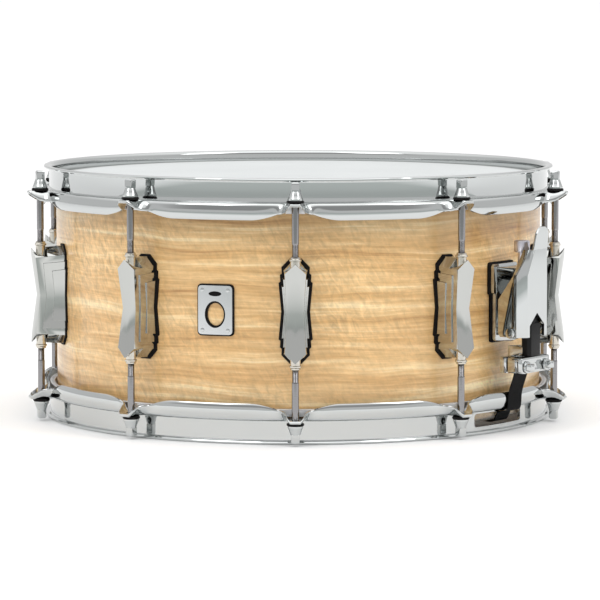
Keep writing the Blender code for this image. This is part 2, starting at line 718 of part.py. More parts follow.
def strap(name, at, points):
    """A ribbon of the strap's width and thickness along (r, h) points."""
    half = STRAP_THICK / 2
    left, right = [], []
    for i, point in enumerate(points):
        before = Vector(points[max(i - 1, 0)])
        after = Vector(points[min(i + 1, len(points) - 1)])
        along = (after - before).normalized()
        left.append((point[0] - along.y * half, point[1] + along.x * half))
        right.append((point[0] + along.y * half, point[1] - along.x * half))
    place(name, slab(left + right[::-1], (-STRAP_HALF, STRAP_HALF)), RIBBON, at)


def strap_path(top_r, top_h):
    """From the clamp, down outside the hoop's skirt, in through the gate and under the head."""
    return [(top_r, top_h), (top_r, -0.0500), (0.1902, -0.0600), (0.1889, -0.0660), (0.1886, -0.0720),
            (0.1872, -0.0757), (0.1830, -0.0767), (0.1800, -0.0776), (0.1788, -0.0798), (0.1758, -0.0841),
            (0.1680, -0.0842), (0.1500, -0.0842)]


def straps():
    strap("strainer_strap", strainer_frame(), strap_path(STRAP_R, -0.0370))
    strap("butt_strap", around(BUTT_AT), strap_path(BUTT_STRAP_R, -0.0366))


def snare_wires():
    """Twenty strands between two end plates, as one flat comb under the lower head."""
    strands, pitch, width = 20, 0.0020, 0.0011
    end, plate_from = 0.1480, 0.1360
    columns = []
    for k in range(strands):
        middle = (k - (strands - 1) / 2) * pitch
        columns += [middle - width / 2, middle + width / 2]
    rows = [-end, -plate_from, plate_from, end]
    work = bmesh.new()
    points = [[work.verts.new((u, -r, -0.0836)) for u in columns] for r in rows]
    for j in range(3):
        for i in range(len(columns) - 1):
            if j == 1 and i % 2:
                continue
            work.faces.new((points[j][i], points[j][i + 1], points[j + 1][i + 1], points[j + 1][i]))
    mesh = mesh_of(work)
    obj = place("snare_wires", mesh, STEEL, strainer_frame())
    solid = obj.modifiers.new("thickness", "SOLIDIFY")
    solid.thickness = 0.0010
    solid.offset = -1 if mesh.polygons[0].normal.z > 0 else 1


def strainer():
    strainer_base()
    strainer_gasket()
    lever()
    pivot_pin()
    carriage()
    clamp_plate("strainer_clamp_plate", strainer_frame(), (0.1942, 0.2062), CARRIAGE_H, CLAMP_SCREW_H)
    for side, u in (("left", -CLAMP_SCREW_U), ("right", CLAMP_SCREW_U)):
        key_screw(f"strainer_clamp_screw_{side}", strainer_frame(), u, CLAMP_SCREW_H, 0.1885, 0.2062)
    knob()
    for end, h in zip(("upper", "lower"), STRAINER_SCREWS):
        place(f"strainer_mounting_screw_{end}", screw_mesh(h, 0.1802), CHROME, strainer_frame())


# Butt, badge and vent

def butt():
    at = around(BUTT_AT)
    gasket = curved_gasket(0.0152, (-0.0518, -0.0242), SHELL_R + TOUCH, SHELL_R + 0.0013)
    hole = cylinder(SCREW_R + TOUCH, (0, 0.170, BUTT_SCREW_H), (0, 0.182, BUTT_SCREW_H), 8)
    place("butt_gasket", combined(gasket, ("DIFFERENCE", hole)), RUBBER, at)
    block = curved_back(box((-0.0140, 0.0140), (0.1740, 0.1880), (-0.0506, -0.0254)), SHELL_R + 0.0016)
    ears = box((-0.0175, 0.0175), (0.1830, 0.1880), (-0.0490, -0.0380))
    steps = [("UNION", ears), ("DIFFERENCE", cylinder(
        SCREW_R + TOUCH, (0, 0.170, BUTT_SCREW_H), (0, 0.1846, BUTT_SCREW_H), 8))]
    for side in (-1, 1):
        u = side * CLAMP_SCREW_U
        ends = (u, 0.1825, CLAMP_SCREW_H), (u, 0.1900, CLAMP_SCREW_H)
        steps.append(("DIFFERENCE", cylinder(CLAMP_SCREW_R, *ends, 10)))
    place("butt_base", combined(block, *steps), CHROME, at)
    clamp_plate("butt_clamp_plate", at, (0.1893, 0.1935), (-0.0490, -0.0380), CLAMP_SCREW_H)
    for side, u in (("left", -CLAMP_SCREW_U), ("right", CLAMP_SCREW_U)):
        key_screw(f"butt_clamp_screw_{side}", at, u, CLAMP_SCREW_H, 0.1832, 0.1935)
    place("butt_mounting_screw", screw_mesh(BUTT_SCREW_H, 0.1840), CHROME, at)


def badge():
    """A rounded plate on a thin backing, curved to the shell."""
    at = around(BADGE_AT)
    half, tall = 0.0132, 0.0178
    backing = curved_gasket(half, (-tall, tall), SHELL_R + TOUCH, SHELL_R + 0.0010)
    place("badge_backing", backing, RUBBER, at)
    front = curved_gasket(half - 0.0009, (0.0009 - tall, tall - 0.0009), SHELL_R + 0.0013, SHELL_R + 0.0023)
    place("badge_plate", front, PLATE, at)


def vent():
    """The air vent's grommet: a tube through the shell with a flange outside and a rolled edge inside."""
    outside, inside = SHELL_R, SHELL_R - SHELL_WALL
    tube = cylinder(0.0062, (0, inside - 0.0016, 0), (0, outside + 0.0010, 0), 16)
    steps = [("UNION", cylinder(0.0095, (0, outside + 0.0006, 0), (0, outside + 0.0018, 0), 16)),
             ("UNION", cylinder(0.0080, (0, inside - 0.0016, 0), (0, inside - 0.0006, 0), 16)),
             ("DIFFERENCE", cylinder(0.0050, (0, inside - 0.01, 0), (0, outside + 0.01, 0), 16))]
    place("vent_grommet", combined(tube, *steps), CHROME, around(VENT_AT))


def build():
    shell()
    head("batter_head", 1, COATED)
    head("snare_side_head", -1, CLEAR)
    head_ring("batter_head_ring", 1)
    head_ring("snare_side_head_ring", -1)
    hoops()
    lugs()
    tension_rods()
    strainer()
    straps()
    snare_wires()
    butt()
    badge()
    vent()
    for obj in PARTS.objects:
        smooth(obj.data)


build()
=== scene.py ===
"""Looks of a 14 x 6.5 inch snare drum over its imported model: detailed pieces, materials, light and camera.

Units are metres. Most sizes are given as a radius from the drum's axis (r), a distance along the tangent (u)
and a height above the shell's middle (h). A piece is modelled facing -Y and then turned about the drum's axis.
"""

import json
from math import atan2, copysign, cos, degrees, hypot, pi, radians, sin, tan

import bmesh
import bpy
from mathutils import Matrix, Vector

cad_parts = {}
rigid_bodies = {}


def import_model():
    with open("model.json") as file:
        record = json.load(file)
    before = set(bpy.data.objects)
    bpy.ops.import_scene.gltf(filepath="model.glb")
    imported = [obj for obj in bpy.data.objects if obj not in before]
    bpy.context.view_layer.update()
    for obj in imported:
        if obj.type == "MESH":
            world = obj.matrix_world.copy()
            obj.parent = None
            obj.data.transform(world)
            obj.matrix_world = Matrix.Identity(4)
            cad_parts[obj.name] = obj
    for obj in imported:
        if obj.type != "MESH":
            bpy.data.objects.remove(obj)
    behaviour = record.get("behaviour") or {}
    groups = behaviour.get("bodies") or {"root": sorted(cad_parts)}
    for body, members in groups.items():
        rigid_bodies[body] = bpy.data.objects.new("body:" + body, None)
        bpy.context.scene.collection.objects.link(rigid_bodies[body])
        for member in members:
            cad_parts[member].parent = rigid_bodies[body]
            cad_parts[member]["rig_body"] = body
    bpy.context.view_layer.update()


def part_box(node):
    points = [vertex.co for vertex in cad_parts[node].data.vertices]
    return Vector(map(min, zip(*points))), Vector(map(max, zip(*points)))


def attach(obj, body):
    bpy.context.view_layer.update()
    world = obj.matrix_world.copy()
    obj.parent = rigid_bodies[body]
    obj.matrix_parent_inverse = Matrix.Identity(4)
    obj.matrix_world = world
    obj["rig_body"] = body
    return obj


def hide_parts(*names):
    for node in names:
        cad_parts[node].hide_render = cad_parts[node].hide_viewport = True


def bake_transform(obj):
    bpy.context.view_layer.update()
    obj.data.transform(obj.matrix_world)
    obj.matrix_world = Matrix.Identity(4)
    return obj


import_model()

# Sizes shared with the CAD model
SHELL_LOW, SHELL_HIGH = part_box("shell")
MIDDLE_Z = (SHELL_LOW.z + SHELL_HIGH.z) / 2
MIDDLE = Matrix.Translation((0, 0, MIDDLE_Z))
TOUCH = 0.0003              # gap between touching solids in the CAD model
SHELL_R = 0.1762
SHELL_WALL = 0.0070
SHELL_HALF = 0.0825
ROD_R = 0.1929
LUGS = 10
LUG_PITCH = 360 / LUGS
RIM_H = 0.0907
EAR_TOP_H = 0.0746          # face that the rod's washer presses on
SHANK_TOP = 0.0757
SHEET = 0.0023              # hoop steel
HOOP_WALL = 0.1790          # inside radius of the hoop's wall
LIP_R = 0.1840
SKIRT_START = 0.1838
EAR_FLAT = 0.0046           # half of the ear's level width
EAR_CORNER = 0.0104         # over this the skirt turns down beside an ear
EAR_REACH = 0.0310          # where the skirt has its full length
EAR_HOLE_R = 0.0034
ARCH_LENGTH = 0.0042        # skirt left at the arch beside an ear
EAR_LENGTH = 0.0168
SKIRT_LENGTH = 0.0113
SKIRT_ANGLE = radians(86)
BEND_LENGTH = 0.0035
SKIRT_STEPS = 6
CURL = radians(18)     # how far the skirt's edge turns in between the ears
GATE = (0.0275, 0.00465, -0.08085)      # half width, half height and middle height
STRAINER_AT = 54.0          # degrees round from the front lug
BUTT_AT = STRAINER_AT + 180.0
GATE_TURN = -2.25           # degrees from the strap's middle to the gate's
BADGE_AT = -18.0
VENT_AT = 162.0
LUG_BASE = SHELL_R + 0.0011
LUG_SCREW_H = 0.0260
SCREW_HEAD_R = 0.0056
PIVOT_R = 0.1970
PIVOT_H = -0.0200
FACE_R = 0.2070             # lever's outer face
KNOB_R = 0.1940
LEVER_HALF = 0.0180
LEVER_BEVEL = 0.0055
LEVER_SHEET = 0.0020
LEVER_BACK = 0.1864         # inner edge of the lever's side walls
LEVER_LEAN = radians(8.5)
SHOULDER_H = 0.0380         # where the lever has narrowed to its thumb end
STRAP_HALF = 0.0085
STRAP_THICK = 0.00056
JAW_HALF = 0.0175
CLAMP_H = (-0.0480, -0.0370)
BUTT_CLAMP_H = (-0.0490, -0.0380)
CLAMP_SCREW_U = 0.0125
CLAMP_SCREW_H = -0.0435

# Boolean steps
ADD, CUT = "UNION", "DIFFERENCE"

# Camera and studio
CAMERA_DISTANCE = 2.475
CAMERA_TURN = radians(0.59)
CAMERA_AIM = 0.0005         # radians that the camera looks right of the axis
CAMERA_H = 0.2306           # above the shell's middle
CAMERA_PITCH = radians(5.54)
LENS = 203.8

PIECES = bpy.data.collections.new("snare_drum_looks")
bpy.context.scene.collection.children.link(PIECES)


# Materials

def linear(red, green, blue):
    """Display colour values from 0 to 255 as the linear colour that shaders take."""
    def one(value):
        value /= 255
        return value / 12.92 if value <= 0.04045 else ((value + 0.055) / 1.055) ** 2.4
    return one(red), one(green), one(blue), 1.0


class Nodes:
    """Short ways to add and link the nodes of a material or a world."""

    def __init__(self, tree):
        self.tree = tree

    def link(self, source, target):
        self.tree.links.new(source, target)

    def node(self, kind, **settings):
        made = self.tree.nodes.new(kind)
        for name, value in settings.items():
            setattr(made, name, value)
        return made

    def put(self, source, socket):
        """Links a socket or sets a plain value."""
        if isinstance(source, bpy.types.NodeSocket):
            self.link(source, socket)
        else:
            socket.default_value = source

    def math(self, operation, *values):
        made = self.node("ShaderNodeMath", operation=operation)
        for value, socket in zip(values, made.inputs):
            self.put(value, socket)
        return made.outputs[0]

    def times(self, one, two):
        return self.math("MULTIPLY", one, two)

    def plus(self, one, two):
        return self.math("ADD", one, two)

    def vector(self, x, y, z):
        made = self.node("ShaderNodeCombineXYZ")
        for value, socket in zip((x, y, z), made.inputs):
            self.put(value, socket)
        return made.outputs[0]

    def place(self, system="Object"):
        """Coordinates as separate x, y and z."""
        where = self.node("ShaderNodeTexCoord")
        split = self.node("ShaderNodeSeparateXYZ")
        self.link(where.outputs[system], split.inputs[0])
        return split.outputs

    def noise(self, where, scale=1.0, detail=3.0, roughness=0.5, distortion=0.0):
        made = self.node("ShaderNodeTexNoise")
        if where is None:
            where = self.node("ShaderNodeTexCoord").outputs["Object"]
        self.link(where, made.inputs["Vector"])
        for name, value in (("Scale", scale), ("Detail", detail), ("Roughness", roughness),
                            ("Distortion", distortion)):
            made.inputs[name].default_value = value
        return made.outputs["Fac"]

    def stretched(self, one, scale_one, two, scale_two, seed, *settings):
        """Noise over two directions that are scaled apart, in a slice of its own."""
        where = self.vector(self.times(one, scale_one), self.times(two, scale_two), seed)
        return self.noise(where, 1.0, *settings)

    def spread(self, value, low, high, to_low=0.0, to_high=1.0, kind="LINEAR"):
        """The value mapped from one range to another, and held at its ends."""
        made = self.node("ShaderNodeMapRange", interpolation_type=kind)
        names = ("From Min", "From Max", "To Min", "To Max")
        for name, number in zip(names, (low, high, to_low, to_high)):
            made.inputs[name].default_value = number
        self.link(value, made.inputs["Value"])
        return made.outputs[0]

    def ramp(self, value, *stops):
        made = self.node("ShaderNodeValToRGB")
        elements = made.color_ramp.elements
        while len(elements) < len(stops):
            elements.new(0.5)
        for element, (place, colour) in zip(elements, stops):
            element.position = place
            element.color = colour
        self.link(value, made.inputs[0])
        return made.outputs[0]

    def mix(self, share, one, two, blend="MIX"):
        made = self.node("ShaderNodeMix", data_type="RGBA", blend_type=blend)
        for value, name in ((share, "Factor_Float"), (one, "A_Color"), (two, "B_Color")):
            socket = next(s for s in made.inputs if s.identifier == name)
            self.put(value, socket)
        return next(s for s in made.outputs if s.identifier == "Result_Color")


class Look(Nodes):
    """A material with a Principled shader."""

    def __init__(self, name, colour, metallic=0.0, roughness=0.5):
        self.material = bpy.data.materials.new(name)
        self.material.use_nodes = True
        super().__init__(self.material.node_tree)
        self.shader = self.tree.nodes["Principled BSDF"]
        self.set("Base Color", colour)
        self.set("Metallic", metallic)
        self.set("Roughness", roughness)

    def set(self, socket, value):
        self.shader.inputs[socket].default_value = value

    def feed(self, source, socket):
        self.link(source, self.shader.inputs[socket])

    def bump(self, height, distance):
        made = self.node("ShaderNodeBump")
        made.inputs["Distance"].default_value = distance
        self.link(height, made.inputs["Height"])
        self.feed(made.outputs[0], "Normal")


def veneer():
    """Pale figured veneer under satin lacquer: long streaks round the shell, crossed by short curly ripples,
    with painted shade that darkens the wood towards the top, under the batter hoop.
    """
    look = Look("figured_veneer", linear(222, 184, 135), roughness=0.34)
    x, y, z = look.place()
    turn = look.math("ARCTAN2", x, look.times(y, -1.0))
    along = look.times(turn, SHELL_R)
    wander = look.stretched(along, 7.0, z, 22.0, 3.0, 2.0)
    height = look.plus(z, look.times(wander, 0.016))
    streaks = look.stretched(along, 5.0, height, 120.0, 0.0, 5.0, 0.62)
    bands = look.stretched(along, 2.2, height, 34.0, 7.0, 2.0)
    lean = look.plus(along, look.times(z, 0.45))
    curl = look.stretched(lean, 260.0, height, 130.0, 1.0, 4.0, 0.6, 0.8)
    lines = look.stretched(along, 9.0, height, 430.0, 2.0, 4.0, 0.7)
    flecks = look.stretched(along, 90.0, height, 420.0, 5.0, 3.0, 0.6)
    patches = look.stretched(along, 14.0, z, 16.0, 9.0, 2.0)
    amount = look.times(look.spread(patches, 0.35, 0.65, 0.25, 1.0), look.spread(turn, -0.95, -0.30, 1.5, 1.0))
    tone = look.plus(look.times(streaks, 0.46), look.times(bands, 0.30))
    tone = look.plus(tone, look.times(lines, 0.24))
    colour = look.ramp(tone, (0.36, linear(170, 120, 66)), (0.45, linear(212, 168, 109)),
                       (0.53, linear(233, 195, 138)), (0.62, linear(255, 232, 184)))
    ripple = look.times(look.spread(curl, 0.30, 0.70, -0.5, 0.5), amount)
    shade = look.plus(look.times(ripple, 0.42), 1.0)
    shade = look.plus(shade, look.spread(flecks, 0.3, 0.7, -0.09, 0.09))
    # Painted shade: the colour darkens towards the top of the shell, where the batter hoop shades the wood.
    painted_hoop_shade = look.spread(z, 0.036, 0.066, 1.0, 0.74)
    shade = look.times(shade, painted_hoop_shade)
    figured = look.mix(1.0, colour, look.vector(shade, shade, shade), "MULTIPLY")
    look.feed(figured, "Base Color")
    look.feed(look.spread(curl, 0.3, 0.7, 0.28, 0.42), "Roughness")
    look.set("Coat Weight", 0.35)
    look.set("Coat Roughness", 0.12)
    look.bump(flecks, 0.00006)
    return look.material


def bare_wood():
    """Plain wood inside the shell and on its edges, with level grain."""
    look = Look("shell_inside", linear(205, 165, 118), roughness=0.55)
    x, y, z = look.place()
    grain = look.noise(look.vector(look.times(x, 14.0), look.times(y, 14.0), look.times(z, 160.0)), 1.0, 4.0)
    look.feed(look.ramp(grain, (0.3, linear(186, 143, 96)), (0.7, linear(222, 186, 140))), "Base Color")
    look.bump(grain, 0.00008)
    return look.material


def polished(name, colour, low, high, smudge=60.0):
    """Plated metal whose roughness varies a little, as with handling marks."""
    look = Look(name, colour, metallic=1.0, roughness=low)
    marks = look.noise(None, smudge, 4.0, 0.6)
    look.feed(look.spread(marks, 0.35, 0.75, low, high), "Roughness")
    return look.material


def brushed(name, colour, roughness):
    """Metal with fine level marks round it."""
    look = Look(name, colour, metallic=1.0, roughness=roughness)
    x, y, z = look.place()
    marks = look.noise(look.vector(look.times(x, 60.0), look.times(y, 60.0), look.times(z, 900.0)), 1.0, 3.0)
    look.feed(look.spread(marks, 0.3, 0.7, roughness - 0.07, roughness + 0.08), "Roughness")
    look.bump(marks, 0.00002)
    return look.material


def coated_film():
    """Sprayed white coating with a fine tooth, and painted shade: a darker margin at the edge, where the hoop
    shades the head.
    """
    look = Look("coated_film", linear(203, 206, 206), roughness=0.62)
    x, y, _ = look.place()
    far = look.math("SQRT", look.plus(look.times(x, x), look.times(y, y)))
    speckle = look.noise(None, 900.0, 3.0, 0.6)
    cloud = look.noise(None, 14.0, 3.0)
    tint = look.ramp(cloud, (0.3, linear(200, 203, 203)), (0.7, linear(205, 208, 208)))
    # Painted shade: the margin from the shell's inner wall outward is mixed to grey, standing in for the hoop's
    # shade on the head.
    edge = look.spread(far, 0.1690, 0.1712)
    look.feed(look.mix(edge, tint, linear(172, 174, 173)), "Base Color")
    look.feed(look.spread(speckle, 0.3, 0.7, 0.52, 0.72), "Roughness")
    look.bump(speckle, 0.00010)
    return look.material


def clear_film():
    """Thin clear film, slightly hazy."""
    look = Look("clear_film", linear(226, 226, 220), roughness=0.16)
    haze = look.noise(None, 30.0, 3.0)
    look.feed(look.spread(haze, 0.3, 0.7, 0.12, 0.24), "Roughness")
    look.set("Alpha", 0.20)
    return look.material


def rubber():
    """Matt black rubber with a fine grain."""
    look = Look("black_rubber", linear(22, 22, 23), roughness=0.62)
    grain = look.noise(None, 1400.0, 2.0)
    look.feed(look.ramp(grain, (0.3, linear(12, 10, 10)), (0.7, linear(22, 20, 20))), "Base Color")
    look.set("Specular IOR Level", 0.15)
    look.bump(grain, 0.00004)
    return look.material


def webbing():
    """Matt black woven ribbon: warp ribs crossed by weft."""
    look = Look("woven_ribbon", linear(20, 20, 21), roughness=0.78)
    x, y, z = look.place()
    across = look.math("SINE", look.times(look.plus(x, y), 5200.0))
    down = look.math("SINE", look.times(z, 6200.0))
    weave = look.times(across, down)
    tint = look.ramp(look.spread(weave, -1.0, 1.0), (0.1, linear(5, 5, 6)), (0.9, linear(22, 22, 23)))
    look.feed(tint, "Base Color")
    look.set("Specular IOR Level", 0.15)
    look.bump(weave, 0.00010)
    return look.material


def painted():
    """Satin black paint with a slight orange peel."""
    look = Look("satin_black", linear(10, 10, 11), roughness=0.34)
    look.set("Specular IOR Level", 0.2)
    peel = look.noise(None, 500.0, 2.0)
    look.feed(look.spread(peel, 0.3, 0.7, 0.28, 0.42), "Roughness")
    look.bump(peel, 0.00003)
    return look.material


VENEER = veneer()
BARE = bare_wood()
CHROME = polished("chrome", (0.545, 0.562, 0.560, 1), 0.030, 0.075)
LUG_CHROME = polished("cast_chrome", (0.485, 0.492, 0.475, 1), 0.045, 0.11, 90.0)
NICKEL = polished("nut_nickel", (0.60, 0.57, 0.51, 1), 0.14, 0.26)
ROD_STEEL = brushed("rod_steel", (0.27, 0.265, 0.27, 1), 0.08)
SATIN = brushed("satin_nickel", (0.70, 0.68, 0.74, 1), 0.34)
RING = brushed("drawn_aluminium", (0.66, 0.66, 0.67, 1), 0.34)
WIRE = polished("snare_steel", (0.72, 0.72, 0.72, 1), 0.16, 0.28, 200.0)
COATED = coated_film()
CLEAR = clear_film()
RUBBER = rubber()
RIBBON = webbing()
BLACK = painted()
PLATE = polished("badge_plate", (0.62, 0.63, 0.64, 1), 0.12, 0.20, 120.0)


# Mesh helpers

def stored(work, name):
    mesh = bpy.data.meshes.new(name)
    work.to_mesh(mesh)
    work.free()
    return mesh


def mesh_of(work):
    """The shape with its faces pointing outward."""
    bmesh.ops.recalc_face_normals(work, faces=work.faces)
    return stored(work, "shape")


def around(degrees):
    """Turns a piece modelled at -Y to its place round the shell, and lifts it to the shell's middle."""
    return MIDDLE @ Matrix.Rotation(radians(degrees), 4, "Z")


def box(u, r, h):
    work = bmesh.new()
    low, high = Vector((u[0], -r[1], h[0])), Vector((u[1], -r[0], h[1]))
    spot = Matrix.Translation((low + high) / 2) @ Matrix.Diagonal((*(high - low), 1))
    bmesh.ops.create_cube(work, size=1, matrix=spot)
    return mesh_of(work)


def cylinder(radius, start, end, sides=32, end_radius=None):
    """A cylinder or cone between two points given as (u, r, h)."""
    first, last = Vector((start[0], -start[1], start[2])), Vector((end[0], -end[1], end[2]))
    along = last - first
    spot = Matrix.Translation((first + last) / 2) @ along.to_track_quat("Z", "Y").to_matrix().to_4x4()
    work = bmesh.new()
    second = radius if end_radius is None else end_radius
    bmesh.ops.create_cone(work, cap_ends=True, segments=sides, radius1=radius, radius2=second,
                          depth=along.length, matrix=spot)
    return mesh_of(work)


def bridge(work, one, two):
    """Faces between two closed rings of vertices."""
    for i in range(len(one)):
        after = (i + 1) % len(one)
        work.faces.new((one[i], one[after], two[after], two[i]))


def loft(rings, closed=False):
    """A skin over closed rings of points (u, r, h): capped at both ends, or joined end to end."""
    work = bmesh.new()
    made = [[work.verts.new((u, -r, h)) for u, r, h in ring] for ring in rings]
    for one, two in zip(made, made[1:]):
        bridge(work, one, two)
    if closed:
        bridge(work, made[-1], made[0])
    else:
        work.faces.new(made[0])
        work.faces.new(made[-1])
    return mesh_of(work)


def plate(outline, r):
    """A plate whose (u, h) outline runs from r[0] to r[1]."""
    return loft([[(u, depth, h) for u, h in outline] for depth in r])


def slab(outline, u):
    """A slab whose (r, h) outline runs from u[0] to u[1]."""
    return loft([[(side, r, h) for r, h in outline] for side in u])


def circle(steps):
    """Angles evenly round a full turn."""
    return [2 * pi * i / steps for i in range(steps)]


def spun(profile, sides=40):
    """A solid turned about the drum's own upright axis from an open (radius, h) profile."""
    turn = circle(sides)
    return loft([[(radius * cos(a), radius * sin(a), h) for a in turn] for radius, h in profile])


def turned_ring(profile, steps=300):
    """A ring round the drum from a closed (r, h) profile."""
    rings = [[(r * sin(a), r * cos(a), h) for r, h in profile] for a in circle(steps)]
    return loft(rings, closed=True)


def rounded_outline(corners, radius, steps=5):
    """The closed outline with its corners rounded by curves that start the radius away from each."""
    made = []
    for i, corner in enumerate(corners):
        here = Vector(corner)
        before, after = Vector(corners[i - 1]), Vector(corners[(i + 1) % len(corners)])
        one = here + (before - here).normalized() * min(radius, (before - here).length * 0.49)
        two = here + (after - here).normalized() * min(radius, (after - here).length * 0.49)
        for k in range(steps + 1):
            t = k / steps
            made.append(tuple(one * (1 - t) ** 2 + here * 2 * t * (1 - t) + two * t ** 2))
    return made


def rectangle(half_u, half_h, middle_h=0.0):
    return [(half_u, middle_h - half_h), (half_u, middle_h + half_h),
            (-half_u, middle_h + half_h), (-half_u, middle_h - half_h)]


def oval(half_u, half_h, middle_h, steps=48):
    return [(half_u * cos(a), middle_h + half_h * sin(a)) for a in circle(steps)]


def stepped(wide, narrow, half_h, step_h):
    """An upright outline that is wider above a height than below it."""
    right = [(narrow, -half_h), (narrow, step_h), (wide, step_h), (wide, half_h)]
    return right + [(-u, h) for u, h in reversed(right)]


def working(mesh):
    """A helper object for modifiers."""
    obj = bpy.data.objects.new("working", mesh)
    PIECES.objects.link(obj)
    return obj


def evaluated(obj):
    """The object's mesh with its modifiers applied."""
    bpy.context.view_layer.update()
    graph = bpy.context.evaluated_depsgraph_get()
    return bpy.data.meshes.new_from_object(obj.evaluated_get(graph))


def combined(first, *others):
    """One mesh from a base mesh and (operation, mesh) steps, each done as an exact Boolean."""
    obj = working(first)
    helpers = []
    for operation, mesh in others:
        helper = working(mesh)
        helpers.append(helper)
        step = obj.modifiers.new(operation, "BOOLEAN")
        step.operation = operation
        step.object = helper
    made = evaluated(obj)
    for used in (obj, *helpers):
        bpy.data.objects.remove(used)
    return made


def eased(mesh, width, segments=2):
    """The mesh with its sharp edges rounded."""
    obj = working(mesh)
    bevel = obj.modifiers.new("bevel", "BEVEL")
    bevel.width = width
    bevel.segments = segments
    bevel.limit_method = "ANGLE"
    bevel.angle_limit = radians(25)
    made = evaluated(obj)
    bpy.data.objects.remove(obj)
    return made


def joined(*meshes):
    """Separate shapes kept in one mesh."""
    work = bmesh.new()
    for mesh in meshes:
        work.from_mesh(mesh)
    return stored(work, "joined")


def two_looks(mesh, first, second, takes_second):
    """Gives the mesh two materials, the second one where a test of a face's centre holds."""
    mesh.materials.clear()
    for look in (first, second):
        mesh.materials.append(look)
    for face in mesh.polygons:
        face.material_index = int(takes_second(face.center))


def piece(name, mesh, look, at, body, slot, *nodes, sharp=32):
    """A visible piece on a body. It stands for the CAD nodes named after the slot argument, which is not used.
    """
    if not mesh.materials:
        mesh.materials.append(look)
    mesh.shade_smooth()
    mesh.set_sharp_from_angle(angle=radians(sharp))
    obj = bpy.data.objects.new(name, mesh)
    PIECES.objects.link(obj)
    obj.matrix_world = at
    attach(obj, body)
    if nodes:
        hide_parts(*nodes)
    return obj


# Shell and heads

def snare_bed(angle):
    """How far the lower bearing edge is relieved, at an angle round the shell in degrees."""
    near = min(abs((angle - side + 180) % 360 - 180) for side in (STRAINER_AT, BUTT_AT))
    return 0.0012 * (0.5 + 0.5 * cos(pi * min(near / 16.0, 1.0)))


def shell():
    """The wood tube with its bearing edges, snare beds and vent hole."""
    inside, apex = SHELL_R - SHELL_WALL, SHELL_R - 0.0027
    cut = SHELL_HALF - (apex - inside)
    half = [(inside, cut), (apex - 0.0003, SHELL_HALF - 0.0003), (apex, SHELL_HALF),
            (apex + 0.0008, SHELL_HALF - 0.0002), (SHELL_R - 0.0006, SHELL_HALF - 0.0012),
            (SHELL_R, SHELL_HALF - 0.0022)]
    profile = half + [(SHELL_R, h / 20 * SHELL_HALF) for h in range(18, -19, -6)]
    profile += [(r, -h) for r, h in reversed(half)]
    mesh = turned_ring(profile, 360)
    for vertex in mesh.vertices:
        if vertex.co.z < -cut - 0.001:
            vertex.co.z += snare_bed(degrees(atan2(vertex.co.x, -vertex.co.y)))
    vent = cylinder(0.0070, (0, SHELL_R - 0.012, 0), (0, SHELL_R + 0.004, 0), 32)
    vent.transform(Matrix.Rotation(radians(VENT_AT), 4, "Z"))
    mesh = combined(mesh, (CUT, vent))
    two_looks(mesh, VENEER, BARE, lambda at: hypot(at.x, at.y) <= SHELL_R - 0.0004)
    piece("shell_skin", mesh, VENEER, MIDDLE, "drum", "shell_wood", "shell")


def film(name, sign, look, slot, node):
    """A head: flat over the shell, rounded at the bearing edge, and a collar down to its ring."""
    thick, corner = 0.0004, 0.0034
    top = SHELL_HALF + TOUCH + thick
    outer = SHELL_R + 0.0008 + thick
    angles = [pi / 2 * i / 8 for i in range(9)]
    curve = [(outer - corner + corner * sin(a), top - corner + corner * cos(a)) for a in angles]
    line = [(0.0004, top), (0.06, top), (0.12, top), (0.168, top)] + curve + [(outer, 0.0680)]
    inner = []
    for r, h in reversed(line):
        drop = thick if r < outer - 0.0006 else 0
        inner.append((max(r - thick, 0.0002), min(h, top) - drop))
    profile = [(r, sign * h) for r, h in line + inner]
    piece(name, turned_ring(profile, 240), look, MIDDLE, "drum", slot, node)


def flesh_hoop(name, sign, node):
    """The ring that holds a head's collar, inside the counter hoop."""
    inside, outside = SHELL_R + 0.0017, SHELL_R + 0.0056
    low, high = 0.0665, EAR_TOP_H - SHEET - TOUCH
    corners = [(outside, low), (outside, high), (inside, high), (inside, low)]
    profile = [(r, sign * h) for r, h in rounded_outline(corners, 0.0009, 3)]
    piece(name, turned_ring(profile, 240), RING, MIDDLE, "drum", "ring_aluminium", node)


# Hoops

def bend(before, corner, after, reach, steps):
    """Points of a curve that rounds a corner, starting the reach before it and ending the reach after it."""
    one = corner + (before - corner).normalized() * reach
    two = corner + (after - corner).normalized() * reach
    ts = [k / steps for k in range(steps + 1)]
    return [one * (1 - t) ** 2 + corner * 2 * t * (1 - t) + two * t ** 2 for t in ts]


